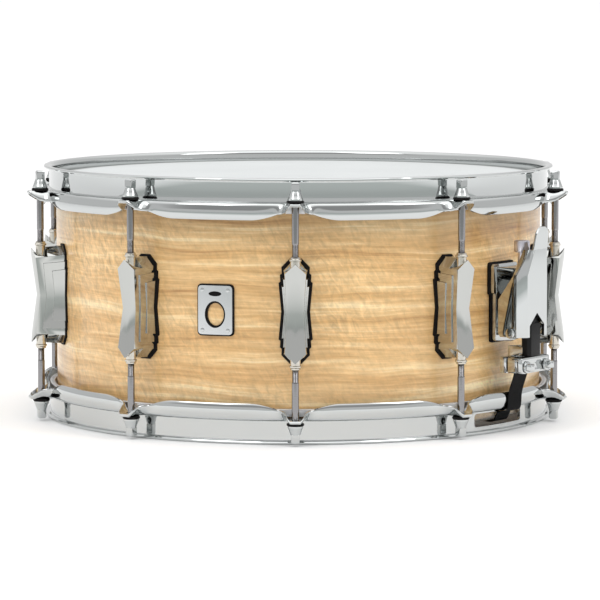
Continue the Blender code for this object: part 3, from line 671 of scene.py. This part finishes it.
def hoop_section(angle):
    """The hoop's closed section at an angle: rolled lip, wall, shelf and a bulging skirt, with round edges."""
    sector = 2 * pi / LUGS
    off = abs((angle + sector / 2) % sector - sector / 2) * ROD_R
    down = min(max((off - EAR_FLAT) / (EAR_REACH - EAR_FLAT), 0.0), 1.0)
    down_soft = down * down * (3 - 2 * down)
    beside = min(max((off - EAR_FLAT) / EAR_CORNER, 0.0), 1.0)
    tilt = SKIRT_ANGLE * (1 - (1 - beside) ** 1.8)
    length = SKIRT_LENGTH - (SKIRT_LENGTH - ARCH_LENGTH) * (1 - down) ** 1.6
    length += (EAR_LENGTH - ARCH_LENGTH) * (1 - beside) ** 3
    half = SHEET / 2
    wall, shelf = HOOP_WALL + half, EAR_TOP_H - half
    reach = BEND_LENGTH / 2 / cos(tilt / 2)
    lip = Vector((LIP_R, RIM_H - half))
    top, foot = Vector((wall, RIM_H - half)), Vector((wall, shelf))
    fold = Vector((SKIRT_START + reach, shelf))
    start = fold + Vector((cos(tilt), -sin(tilt))) * reach
    line = [lip] + bend(lip, top, foot, 0.0019, 5) + bend(top, foot, fold, 0.0016, 5)
    line += bend(foot, fold, start, reach, 6)
    step = (length - BEND_LENGTH) / SKIRT_STEPS
    for k in range(SKIRT_STEPS):
        turn = tilt + CURL * down_soft * (2.2 * (k + 0.5) / SKIRT_STEPS - 0.9)
        line.append(line[-1] + Vector((cos(turn), -sin(turn))) * step)
    one, two = [], []
    for i, here in enumerate(line):
        along = (line[min(i + 1, len(line) - 1)] - line[max(i - 1, 0)]).normalized()
        side = Vector((-along.y, along.x)) * half
        one.append(here + side)
        two.append(here - side)
    end, caps = line[-1], []
    for centre, first in ((end, one[-1] - end), (lip, two[0] - lip)):
        caps.append([centre + Matrix.Rotation(-pi * k / 5, 2) @ first for k in range(1, 5)])
    return [tuple(p) for p in one + caps[0] + two[::-1] + caps[1]]


def hoop_mesh(sign):
    """A counter hoop with its rod holes and, on the lower one, its two snare gates."""
    rings = []
    for angle in circle(720):
        section = hoop_section(angle)
        rings.append([(r * sin(angle), r * cos(angle), sign * h) for r, h in section])
    mesh = loft(rings, closed=True)
    cutters = []
    for k in range(LUGS):
        hole = cylinder(EAR_HOLE_R, (0, ROD_R, sign * 0.068), (0, ROD_R, sign * 0.080), 24)
        hole.transform(Matrix.Rotation(radians(LUG_PITCH * k), 4, "Z"))
        cutters.append(hole)
    if sign < 0:
        for side in (STRAINER_AT, BUTT_AT):
            window = plate(rounded_outline(rectangle(*GATE), 0.0025), (0.165, 0.1822))
            window.transform(Matrix.Rotation(radians(side + GATE_TURN), 4, "Z"))
            cutters.append(window)
    return combined(mesh, (CUT, joined(*cutters)))


# Lugs and rods

def tier(half_end, half_waist, end_h, taper, end_r, waist_r):
    """One step of the lug's side: a bow tie in front view whose face is hollow at the waist."""
    low = [(half_end, end_h), (half_waist, 0), (half_end, -end_h),
           (-half_end, -end_h), (-half_waist, 0), (-half_end, end_h)]
    rings = [[(u, LUG_BASE, h) for u, h in low]]
    top = []
    for u, h in low:
        sign_u, sign_h = copysign(1, u), (h > 0) - (h < 0)
        top.append((u - sign_u * taper, waist_r if h == 0 else end_r, h - sign_h * taper))
    rings.append(top)
    work = bmesh.new()
    made = [[work.verts.new((u, -r, h)) for u, r, h in ring] for ring in rings]
    bridge(work, *made)
    work.faces.new(made[0])
    face = made[1]
    work.faces.new((face[0], face[1], face[4], face[5]))
    work.faces.new((face[1], face[2], face[3], face[4]))
    return mesh_of(work)


def lug_core():
    """The lug's tall middle: pointed at both ends, with a ridge down its front and a narrow waist."""
    base = [(0.0028, 0.0350), (0.0084, 0.0288), (0.0068, 0), (0.0084, -0.0288), (0.0028, -0.0350)]
    base += [(-u, h) for u, h in reversed(base)]
    front = [(0.0, 0.2001, 0.0338), (0.0072, 0.1982, 0.0272), (0.0056, 0.1946, 0),
             (0.0072, 0.1982, -0.0272), (0.0, 0.2001, -0.0338),
             (-0.0072, 0.1982, -0.0272), (-0.0056, 0.1946, 0), (-0.0072, 0.1982, 0.0272)]
    work = bmesh.new()
    low = [work.verts.new((u, -LUG_BASE, h)) for u, h in base]
    high = [work.verts.new((u, -r, h)) for u, r, h in front]
    ridge = work.verts.new((0, -0.1957, 0))
    tip, right_top, right, right_low, foot, left_low, left, left_top = high
    for face in (
        (tip, right_top, right, ridge), (ridge, right, right_low, foot),
        (tip, ridge, left, left_top), (ridge, foot, left_low, left),
        (low[0], low[1], right_top, tip), (low[1], low[2], right, right_top),
        (low[2], low[3], right_low, right), (low[3], low[4], foot, right_low),
        (low[4], low[5], foot), (low[5], low[6], left_low, foot),
        (low[6], low[7], left, left_low), (low[7], low[8], left_top, left),
        (low[8], low[9], tip, left_top), (low[9], low[0], tip), tuple(low),
    ):
        work.faces.new(face)
    return mesh_of(work)


def lug_casing():
    """The cast casing: its tall middle, two steps at each side and a seat cut for each nut."""
    steps = [(ADD, tier(0.0092, 0.0078, 0.0240, 0.0010, 0.1926, 0.1903)),
             (ADD, tier(0.0101, 0.0086, 0.0184, 0.0009, 0.1865, 0.1845))]
    for sign in (1, -1):
        seat = [(0.1890, 0.0400), (0.1895, 0.0275), (0.1965, 0.0293), (0.2003, 0.0350), (0.2003, 0.0400)]
        steps.append((CUT, slab([(r, sign * h) for r, h in seat], (-0.012, 0.012))))
    return eased(combined(lug_core(), *steps), 0.00035)


def lug_gasket():
    """The black seat under the lug, a little wider than the casing all round."""
    half = [(0.0038, 0.0362), (0.0097, 0.0300), (0.0094, 0.0258), (0.0107, 0.0247), (0.0104, 0.0202),
            (0.0116, 0.0192), (0.0098, 0.0)]
    right = half + [(u, -h) for u, h in reversed(half[:-1])]
    outline = right + [(-u, h) for u, h in reversed(right)]
    return plate(outline, (0.1752, LUG_BASE))


def lug_nut(sign):
    """The nut at one end of the lug, with a collar and a mouth for the rod."""
    profile = [(0.0001, 0.0200), (0.0035, 0.0200), (0.0035, 0.0352), (0.0042, 0.0356), (0.0042, 0.0366),
               (0.0036, 0.0372), (0.0034, 0.0382), (0.0029, 0.0383), (0.0028, 0.0340), (0.0001, 0.0340)]
    mesh = spun([(r, sign * h) for r, h in profile], 32)
    mesh.transform(Matrix.Translation((0, -ROD_R, 0)))
    return mesh


def lug_screw(sign):
    """The round-headed screw inside the shell, with a washer and a cross slot."""
    inside, h = SHELL_R - SHELL_WALL, sign * LUG_SCREW_H
    washer = cylinder(SCREW_HEAD_R, (0, inside - 0.0016, h), (0, inside - 0.0004, h), 28)
    top = cylinder(0.0030, (0, inside - 0.0039, h), (0, inside - 0.0015, h), 28, 0.0047)
    slots = [box((-0.0022, 0.0022), (inside - 0.0050, inside - 0.0030), (h - 0.0004, h + 0.0004)),
             box((-0.0004, 0.0004), (inside - 0.0050, inside - 0.0030), (h - 0.0022, h + 0.0022))]
    return combined(joined(washer, top), *((CUT, one) for one in slots))


def lugs():
    casing, seat = lug_casing(), lug_gasket()
    nuts = joined(lug_nut(1), lug_nut(-1))
    screws = joined(lug_screw(1), lug_screw(-1))
    for k in range(LUGS):
        at, number = around(LUG_PITCH * k), f"{k + 1:02d}"
        piece(f"lug_casing_{number}", casing, LUG_CHROME, at, "drum", "chrome", f"lug_{number}", sharp=20)
        piece(f"lug_seat_{number}", seat, RUBBER, at, "drum", "gasket_rubber")
        piece(f"lug_nuts_{number}", nuts, NICKEL, at, "drum", "chrome")
        piece(f"lug_screws_{number}", screws, CHROME, at, "drum", "chrome")


def rod_mesh():
    """The rod's thread, shank, collar and square head, about its own axis."""
    profile = [(0.0001, 0.0300), (0.0020, 0.0300), (0.0024, 0.0308)]
    pitch, foot, top = 0.0008, 0.0308, 0.0470
    turns = int((top - foot) / pitch)
    for i in range(turns):
        h = foot + i * pitch
        profile += [(0.00215, h + pitch * 0.45), (0.00245, h + pitch)]
    profile += [
        (0.0025, top + 0.0006), (0.0025, 0.0758), (0.0051, 0.0762), (0.0054, 0.0766), (0.0054, 0.0776),
        (0.0051, 0.0780), (0.0043, 0.0800), (0.0037, 0.0818), (0.0033, 0.0826), (0.0001, 0.0828),
    ]
    shank = spun(profile, 24)
    half = 0.0029
    square = [(x * half, y * half) for x, y in ((1, 1), (-1, 1), (-1, -1), (1, -1))]
    rings = []
    shares = (0.80, 1.0, 1.0, 0.93, 0.74, 0.35)
    for share, h in zip(shares, (0.0820, 0.0827, 0.0876, 0.0883, 0.0888, 0.0889)):
        corners = rounded_outline([(x * share, y * share) for x, y in square], 0.0008 * share, 3)
        rings.append([(x, y, h) for x, y in corners])
    mesh = joined(shank, loft(rings))
    two_looks(mesh, ROD_STEEL, CHROME, lambda at: at.z > SHANK_TOP)
    return mesh


def washer_mesh():
    """The black washer between a rod's collar and its ear."""
    low, high = EAR_TOP_H + 0.0001, 0.0763
    return spun([(0.0026, low), (0.0056, low), (0.0060, low + 0.0004), (0.0060, high - 0.0004),
                 (0.0056, high), (0.0026, high)], 40)


def rods():
    rod, washer = rod_mesh(), washer_mesh()
    for side, flip in (("upper", 0.0), ("lower", pi)):
        for k in range(LUGS):
            name = f"{side}_rod_{k + 1:02d}"
            at = around(LUG_PITCH * k) @ Matrix.Translation((0, -ROD_R, 0)) @ Matrix.Rotation(flip, 4, "X")
            piece(f"{name}_steel", rod, ROD_STEEL, at, name, "chrome", name)
            piece(f"{name}_washer", washer, RUBBER, at, name, "gasket_rubber")


# Strainer and butt

def curved(outline, inside, outside, columns=12):
    """A sheet with a (u, h) outline, wrapped round the shell between two radii."""
    mesh = plate(outline, (inside, outside))
    work = bmesh.new()
    work.from_mesh(mesh)
    wide = max(u for u, _ in outline)
    for i in range(1, columns):
        at = -wide + 2 * wide * i / columns
        geometry = work.verts[:] + work.edges[:] + work.faces[:]
        bmesh.ops.bisect_plane(work, geom=geometry, plane_co=(at, 0, 0), plane_no=(1, 0, 0))
    for vertex in work.verts:
        angle, r = vertex.co.x / SHELL_R, -vertex.co.y
        vertex.co.x, vertex.co.y = r * sin(angle), -r * cos(angle)
    return stored(work, "curved")


def key_screw(u, h, seat):
    """A drum-key screw facing outward: round collar and a square with a domed end."""
    collar = cylinder(0.0042, (u, seat + 0.0003, h), (u, seat + 0.0018, h), 28)
    half = 0.0025
    rings = []
    for share, out in ((1.0, 0.0010), (1.0, 0.0050), (0.85, 0.0057), (0.5, 0.0060)):
        depth = seat + out
        corners = rounded_outline(rectangle(half * share, half * share, h), 0.0007, 3)
        rings.append([(u + x, depth, y) for x, y in corners])
    return joined(eased(collar, 0.0003), loft(rings))


def clamp_bar(r, h):
    """A jaw with its screws' clearance holes and eased edges."""
    outline = [(JAW_HALF, h[0]), (JAW_HALF, h[1]), (-JAW_HALF, h[1]), (-JAW_HALF, h[0])]
    bar = plate(rounded_outline(outline, 0.0014, 3), r)
    holes = []
    for u in (-CLAMP_SCREW_U, CLAMP_SCREW_U):
        ends = (u, r[0] - 0.002, CLAMP_SCREW_H), (u, r[1] + 0.002, CLAMP_SCREW_H)
        holes.append((CUT, cylinder(0.0022, *ends, 24)))
    return eased(combined(bar, *holes), 0.0005)


def clamp_screws(owner, at, seat):
    """The pair of key screws through a clamp's jaw."""
    for side, u in (("left", -CLAMP_SCREW_U), ("right", CLAMP_SCREW_U)):
        node = f"{owner}_clamp_screw_{side}"
        piece(f"{node}_key", key_screw(u, CLAMP_SCREW_H, seat), CHROME, at, node, "chrome", node)


def inner_screw(h):
    """A plain round screw head inside the shell."""
    inside = SHELL_R - SHELL_WALL
    return eased(cylinder(SCREW_HEAD_R, (0, inside - 0.0038, h), (0, inside - 0.0004, h), 28), 0.0008)


def strap_ribbon(top_r, top_h):
    """The strap along its path, wide and thin, and finely subdivided."""
    path = [(top_r, top_h), (top_r, -0.0440), (top_r, -0.0500), (0.1902, -0.0600), (0.1889, -0.0660),
            (0.1886, -0.0720), (0.1872, -0.0757), (0.1830, -0.0767), (0.1800, -0.0776), (0.1788, -0.0798),
            (0.1758, -0.0841), (0.1680, -0.0842), (0.1580, -0.0842), (0.1500, -0.0842)]
    smooth = []
    for i in range(len(path) - 1):
        points = [Vector(path[min(max(k, 0), len(path) - 1)]) for k in (i - 1, i, i + 1, i + 2)]
        for t in (0.0, 0.25, 0.5, 0.75):
            a, b, c, d = points
            smooth.append(0.5 * ((2 * b) + (c - a) * t + (2 * a - 5 * b + 4 * c - d) * t ** 2
                                 + (3 * b - a - 3 * c + d) * t ** 3))
    smooth.append(Vector(path[-1]))
    rings = []
    for i, here in enumerate(smooth):
        along = (smooth[min(i + 1, len(smooth) - 1)] - smooth[max(i - 1, 0)]).normalized()
        side = Vector((-along.y, along.x)) * STRAP_THICK / 2
        across = [STRAP_HALF * (k / 4 - 1) for k in range(9)]
        front = [(u, *(here + side)) for u in across]
        back = [(u, *(here - side)) for u in reversed(across)]
        rings.append(front + back)
    return loft(rings)


def lever_mesh():
    """The throw-off lever: a channel with bevelled edges and a notched foot, and a narrow thumb end."""
    foot, bend_h = -0.0230, 0.0200
    channel = lever_channel(foot, bend_h)
    below = foot - 0.001
    notch = [(-0.0093, below), (-0.0093, -0.0150), (0, -0.0064), (0.0093, -0.0150), (0.0093, below)]
    behind = [(0.1800, 0.0030), (LEVER_BACK, 0.0030), (0.1985, bend_h), (0.2020, SHOULDER_H + 0.001),
              (0.1800, SHOULDER_H + 0.001)]
    under = [(0.1800, foot - 0.001), (0.1887, foot - 0.001), (LEVER_BACK, -0.0205), (0.1800, -0.0205)]
    steps = [(ADD, thumb_end(bend_h)),
             (CUT, plate(notch, (0.2000, FACE_R + 0.001))),
             (CUT, slab(behind, (-0.02, 0.02))),
             (CUT, slab(under, (-0.02, 0.02))),
             (CUT, cylinder(0.0020, (-0.02, PIVOT_R, PIVOT_H), (0.02, PIVOT_R, PIVOT_H), 24))]
    return eased(combined(channel, *steps), 0.0006, 3)


def lever_channel(foot, bend_h):
    """The lever's folded sheet: straight up to the bend, then narrowing as it leans outward."""
    lean = (SHOULDER_H - bend_h) * tan(LEVER_LEAN)
    straight = channel_section(LEVER_HALF, LEVER_BEVEL, LEVER_BACK, 0.0)
    narrow = channel_section(0.0100, 0.0024, 0.1990, lean)
    return loft([[(u, r, h) for u, r in section]
                 for section, h in ((straight, foot), (straight, bend_h), (narrow, SHOULDER_H))])


def channel_section(wide, bevel, back, lean):
    """The folded sheet from above, as (u, r) points round its outside and back along its inside."""
    face, inside = FACE_R + lean, FACE_R - LEVER_SHEET + lean
    outer = [(-wide, back + lean), (-wide, face - bevel), (bevel - wide, face)]
    inner = [(LEVER_SHEET - wide, back + lean), (LEVER_SHEET - wide, face - bevel - 0.0006),
             (bevel - wide + 0.0006, inside)]
    return outer + [(-u, r) for u, r in reversed(outer)] + [(-u, r) for u, r in inner] + inner[::-1]


def thumb_end(bend_h):
    """The narrow upper end, leaning outward above the shoulder."""
    inner = FACE_R - LEVER_SHEET
    low = SHOULDER_H - 0.0030
    angles = [pi / 14 * i for i in range(15)]
    arc = [(0.0076 * cos(a), 0.0480 + 0.0066 * sin(a)) for a in angles]
    neck = plate([(0.0088, low)] + arc + [(-0.0088, low)], (inner + 0.0002, FACE_R - 0.0002))
    hinge = Vector((0, -inner, bend_h))
    neck.transform(Matrix.Translation(hinge) @ Matrix.Rotation(LEVER_LEAN, 4, "X")
                   @ Matrix.Translation(-hinge))
    return neck


def base_mesh():
    """The strainer's chrome housing: rounded flange, upper block with the knob's bore, and two cheeks."""
    outline = rounded_outline(stepped(0.0144, 0.0124, 0.0270, 0.0066), 0.0022)
    flange = curved(outline, SHELL_R + 0.0014, SHELL_R + 0.0050)
    steps = [(ADD, box((-0.0120, 0.0120), (0.1800, 0.1990), (0.0065, 0.0250)))]
    cheek = [(0.1800, -0.0262), (0.1930, -0.0262), (0.2000, -0.0232), (0.2000, 0.0070), (0.1800, 0.0070)]
    for side in (-1, 1):
        steps.append((ADD, slab(cheek, sorted((side * 0.0092, side * 0.0120)))))
    steps.append((CUT, cylinder(0.0024, (0, KNOB_R, 0.0), (0, KNOB_R, 0.03), 24)))
    return eased(combined(flange, *steps), 0.0006, 3)


def chamfered_block(half, r, h, cut):
    """A block whose two outer upright edges are cut back."""
    outline = [(-half, r[0]), (half, r[0]), (half, r[1] - cut),
               (half - cut, r[1]), (cut - half, r[1]), (-half, r[1] - cut)]
    return loft([[(u, depth, level) for u, depth in outline] for level in h])


def carriage_mesh():
    """The sliding block with the clamp's fixed jaw: black in front and chrome behind."""
    parts = [
        (ADD, box((-0.0086, 0.0086), (0.1840, 0.1996), (-0.0080, 0.0050))),
        (ADD, chamfered_block(0.0078, (0.1994, 0.2060), (-0.0365, -0.0138), 0.0020)),
        (ADD, box((-JAW_HALF, JAW_HALF), (0.1880, 0.1930), CLAMP_H)),
        (ADD, box((-0.0078, 0.0078), (0.1880, 0.1930), (-0.0376, -0.0300))),
        (ADD, box((-0.0078, 0.0078), (0.1900, 0.2000), (-0.0365, -0.0300))),
        (CUT, cylinder(0.0024, (0, KNOB_R, -0.0050), (0, KNOB_R, 0.0080), 24)),
    ]
    mesh = eased(combined(box((-0.0078, 0.0078), (0.1994, 0.2042), (-0.0140, 0.0040)), *parts), 0.0007, 3)
    two_looks(mesh, BLACK, CHROME, lambda at: at.y >= -0.2002)
    return mesh


def knob_mesh():
    """Knurled tension knob on its neck, about its own axis."""
    neck = spun([(0.0001, -0.0020), (0.0019, -0.0020), (0.0019, 0.0252),
                 (0.0028, 0.0254), (0.0028, 0.0354), (0.0001, 0.0354)], 28)
    profile = [(0.0040, 0.0352), (0.0052, 0.0356), (0.0056, 0.0364), (0.0056, 0.0426),
               (0.0053, 0.0433), (0.0046, 0.0436), (0.0010, 0.0436)]
    rings = []
    for radius, h in profile:
        ring = []
        for i, a in enumerate(circle(96)):
            knurl = 0.00012 if i % 3 == 0 and 0.036 < h < 0.043 else 0.0
            ring.append(((radius - knurl) * cos(a), (radius - knurl) * sin(a), h))
        rings.append(ring)
    return joined(neck, loft(rings))


def strainer():
    """The throw-off at the right: housing, lever, carriage, clamp, knob and strap."""
    at = around(STRAINER_AT)
    outline = rounded_outline(stepped(0.0156, 0.0136, 0.0282, 0.0058), 0.0026)
    seat = curved(outline, SHELL_R - 0.0002, SHELL_R + 0.0015)
    piece("strainer_seat", seat, RUBBER, at, "drum", "gasket_rubber", "strainer_gasket")
    piece("strainer_housing", base_mesh(), CHROME, at, "drum", "chrome", "strainer_base")
    piece("strainer_cover", lever_mesh(), CHROME, at, "strainer_lever", "chrome", "strainer_lever")
    pin = [cylinder(0.0017, (-0.0185, PIVOT_R, PIVOT_H), (0.0185, PIVOT_R, PIVOT_H), 24)]
    for side in (-1, 1):
        pin.append(eased(cylinder(0.0036, (side * 0.0184, PIVOT_R, PIVOT_H),
                                  (side * 0.0198, PIVOT_R, PIVOT_H), 28), 0.0004))
    piece("lever_pin", joined(*pin), CHROME, at, "drum", "chrome", "lever_pivot_pin")
    piece("carriage_block", carriage_mesh(), BLACK, at, "strainer_carriage", "carriage_black",
          "strainer_carriage")
    piece("strainer_clamp", clamp_bar((0.1942, 0.2062), CLAMP_H), CHROME, at,
          "strainer_carriage", "chrome", "strainer_clamp_plate")
    clamp_screws("strainer", at, 0.2062)
    piece("tension_knob_knurled", knob_mesh(), SATIN, at @ Matrix.Translation((0, -KNOB_R, 0)),
          "tension_knob", "knob_satin", "tension_knob")
    for end, h in (("upper", 0.0160), ("lower", -0.0140)):
        node = f"strainer_mounting_screw_{end}"
        piece(f"strainer_screw_{end}", inner_screw(h), CHROME, at, "drum", "chrome", node)
    ribbon = piece("strainer_ribbon", strap_ribbon(0.1936, -0.0374), RIBBON, at, "drum",
                   "strap_black", "strainer_strap")
    ribbon.parent = None
    del ribbon["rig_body"]
    ribbon.matrix_world = at
    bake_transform(ribbon)


def butt():
    """The fixed end opposite the strainer: a block on a gasket, with a clamp and its own strap."""
    at = around(BUTT_AT)
    seat = rounded_outline(rectangle(0.0152, 0.0138, -0.0380), 0.0030)
    piece("butt_seat", curved(seat, SHELL_R - 0.0002, SHELL_R + 0.0015), RUBBER, at, "drum",
          "gasket_rubber", "butt_gasket")
    outline = rounded_outline(rectangle(0.0140, 0.0126, -0.0380), 0.0026)
    flange = curved(outline, SHELL_R + 0.0014, SHELL_R + 0.0042)
    steps = [(ADD, box((-0.0110, 0.0110), (0.1790, 0.1880), (-0.0490, -0.0272))),
             (ADD, box((-JAW_HALF, JAW_HALF), (0.1830, 0.1880), BUTT_CLAMP_H))]
    piece("butt_block", eased(combined(flange, *steps), 0.0006, 3), CHROME, at, "drum", "chrome", "butt_base")
    jaw = clamp_bar((0.1893, 0.1935), BUTT_CLAMP_H)
    piece("butt_clamp", jaw, CHROME, at, "drum", "chrome", "butt_clamp_plate")
    clamp_screws("butt", at, 0.1935)
    piece("butt_screw", inner_screw(-0.0300), CHROME, at, "drum", "chrome", "butt_mounting_screw")
    piece("butt_ribbon", strap_ribbon(0.1886, -0.0374), RIBBON, at, "drum", "strap_black", "butt_strap")


def snare_wires():
    """Twenty coiled strands between two end plates."""
    at = around(STRAINER_AT)
    strands, pitch = 20, 0.0020
    low, high = -0.0846, -0.0836
    plates = []
    for side in (-1, 1):
        near, far = side * 0.1360, side * 0.1480
        outline = [(near, -0.0198), (far, -0.0170), (far, 0.0170), (near, 0.0198)]
        corners = rounded_outline(outline, 0.0016, 3)
        plates.append(loft([[(u, r, level) for r, u in corners] for level in (low, high)]))
    piece("snare_end_plates", joined(*plates), WIRE, at, "snare_wires", "snare_steel", "snare_wires")
    turn, wire_r, coil_r = 0.0019, 0.00017, 0.00042
    per_turn, length = 6, 0.2720
    count = int(length / turn * per_turn)
    work = bmesh.new()
    for k in range(strands):
        middle = (k - (strands - 1) / 2) * pitch
        rings = []
        for i in range(count + 1):
            along = -length / 2 + length * i / count
            a = 2 * pi * i / per_turn
            out = Vector((cos(a), 0, sin(a)))
            ring = []
            for corner in range(4):
                b = pi / 2 * corner
                spot = Vector((middle, along, (low + high) / 2)) + out * (coil_r + wire_r * cos(b))
                spot.y += wire_r * 1.6 * sin(b)
                ring.append(work.verts.new(spot))
            rings.append(ring)
        for one, two in zip(rings, rings[1:]):
            bridge(work, one, two)
    piece("snare_strands", mesh_of(work), WIRE, at, "snare_wires", "snare_steel", sharp=80)


# Badge and vent

def badge():
    """A plain plate on a black backing, with an oval window onto the wood, a slot and four small screws."""
    at = around(BADGE_AT)
    half, tall = 0.0132, 0.0178
    back = curved(rounded_outline(rectangle(half, tall), 0.0034), SHELL_R - 0.0002, SHELL_R + 0.0012)
    back = combined(back, (CUT, plate(oval(0.0060, 0.0078, -0.0030), (0.17, 0.18))))
    piece("badge_back", back, RUBBER, at, "drum", "gasket_rubber", "badge_backing")
    outline = rounded_outline(rectangle(half - 0.0010, tall - 0.0010), 0.0028)
    front = combined(curved(outline, SHELL_R + 0.0010, SHELL_R + 0.0023),
                     (CUT, plate(oval(0.0074, 0.0092, -0.0030), (0.17, 0.18))),
                     (CUT, plate(oval(0.0046, 0.0017, 0.0112), (0.17, 0.18))))
    piece("badge_front", front, PLATE, at, "drum", "badge_plate", "badge_plate")
    screws = []
    for u in (-0.0092, 0.0092):
        for h in (-0.0138, 0.0138):
            head = eased(cylinder(0.0014, (u, SHELL_R + 0.0010, h), (u, SHELL_R + 0.0024, h), 24), 0.0003)
            depth = (SHELL_R + 0.0021, SHELL_R + 0.0030)
            cut = box((u - 0.0012, u + 0.0012), depth, (h - 0.0002, h + 0.0002))
            screws.append(combined(head, (CUT, cut)))
    piece("badge_screws", joined(*screws), CHROME, at, "drum", "chrome")


def vent():
    """The air vent's grommet."""
    outside, inside = SHELL_R, SHELL_R - SHELL_WALL
    rim = [(0.0050, inside - 0.0016), (0.0078, inside - 0.0014), (0.0080, inside - 0.0008),
           (0.0062, inside - 0.0004), (0.0062, outside + 0.0004), (0.0093, outside + 0.0006),
           (0.0095, outside + 0.0011), (0.0088, outside + 0.0016), (0.0060, outside + 0.0018),
           (0.0050, outside + 0.0010)]
    rings = [[(r * cos(a), depth, r * sin(a)) for r, depth in rim] for a in circle(48)]
    piece("vent_rim", loft(rings, closed=True), CHROME, around(VENT_AT), "drum", "chrome", "vent_grommet")


# Studio

def placed(name, data, at=(0, 0, 0)):
    """An object of the studio, linked to the scene."""
    obj = bpy.data.objects.new(name, data)
    bpy.context.scene.collection.objects.link(obj)
    obj.location = at
    return obj


def floor():
    """A white floor that is greyer in front of the drum, out of the picture, for the chrome to reflect."""
    mesh = bpy.data.meshes.new("floor")
    size = 40.0
    corners = [(-size, -size, 0), (size, -size, 0), (size, size, 0), (-size, size, 0)]
    mesh.from_pydata(corners, [], [(0, 1, 2, 3)])
    look = Look("studio_floor", linear(250, 250, 250), roughness=0.9)
    _, y, _ = look.place()
    near = look.spread(y, -1.10, -0.60)
    look.feed(look.ramp(near, (0.0, linear(188, 193, 191)), (1.0, linear(252, 252, 252))), "Base Color")
    mesh.materials.append(look.material)
    placed("floor", mesh)


def softbox(name, at, size, power):
    """A rectangular area light aimed at the drum's middle."""
    light = bpy.data.lights.new(name, "AREA")
    light.shape = "RECTANGLE"
    light.size, light.size_y = size
    light.energy = power
    obj = placed(name, light, at)
    aim = Vector((0, 0, MIDDLE_Z)) - Vector(at)
    obj.rotation_euler = aim.to_track_quat("-Z", "Y").to_euler()


def light_under_drum():
    """A faint disk on the floor, so that the snare gates are not quite black."""
    light = bpy.data.lights.new("light_under_drum", "AREA")
    light.shape = "DISK"
    light.size = 0.33
    light.energy = 0.06
    placed("light_under_drum", light, (0, 0, 0.0005)).rotation_euler = (pi, 0, 0)


def studio():
    """Three softboxes, and a white room that is brighter overhead and darker behind the camera."""
    softbox("softbox_left", (-1.2, -1.2, 1.9), (1.0, 1.2), 8)
    softbox("softbox_right", (1.5, -1.0, 1.8), (0.8, 1.2), 8)
    softbox("softbox_top", (0.0, -0.4, 2.2), (2.2, 1.6), 5)
    light_under_drum()
    world = bpy.data.worlds.new("studio")
    bpy.context.scene.world = world
    world.use_nodes = True
    room = Nodes(world.node_tree)

    def smooth(value, *limits):
        return room.spread(value, *limits, kind="SMOOTHSTEP")

    _, depth, height = room.place("Generated")
    band = room.times(smooth(height, 0.18, 0.30, 0.0, 1.0), smooth(height, 0.50, 0.72, 1.0, 0.0))
    band = room.times(band, smooth(depth, -0.75, -0.25, 1.0, 0.0))
    light = room.times(smooth(band, 0.0, 1.0, 0.77, 0.39), smooth(height, 0.30, 0.90, 1.0, 1.72))
    room.link(light, room.tree.nodes["Background"].inputs["Color"])
    bpy.context.scene.view_settings.view_transform = "Standard"


def camera():
    """A long lens in front of the drum, slightly above it."""
    data = bpy.data.cameras.new("camera")
    data.lens = LENS
    data.clip_end = 200.0
    back = Vector((sin(CAMERA_TURN), -cos(CAMERA_TURN), 0)) * CAMERA_DISTANCE
    obj = placed("camera", data, back + Vector((0, 0, MIDDLE_Z + CAMERA_H)))
    obj.rotation_euler = (pi / 2 - CAMERA_PITCH, 0, CAMERA_TURN - CAMERA_AIM)
    bpy.context.scene.camera = obj


def build():
    """Every visible piece, and then the studio."""
    shell()
    film("batter_film", 1, COATED, "head_coated", "batter_head")
    film("snare_side_film", -1, CLEAR, "head_clear", "snare_side_head")
    flesh_hoop("batter_flesh_hoop", 1, "batter_head_ring")
    flesh_hoop("snare_side_flesh_hoop", -1, "snare_side_head_ring")
    piece("batter_hoop_steel", hoop_mesh(1), CHROME, MIDDLE, "drum", "chrome", "batter_hoop")
    piece("snare_side_hoop_steel", hoop_mesh(-1), CHROME, MIDDLE, "drum", "chrome", "snare_side_hoop")
    lugs()
    rods()
    strainer()
    butt()
    snare_wires()
    badge()
    vent()
    floor()
    studio()
    camera()


build()
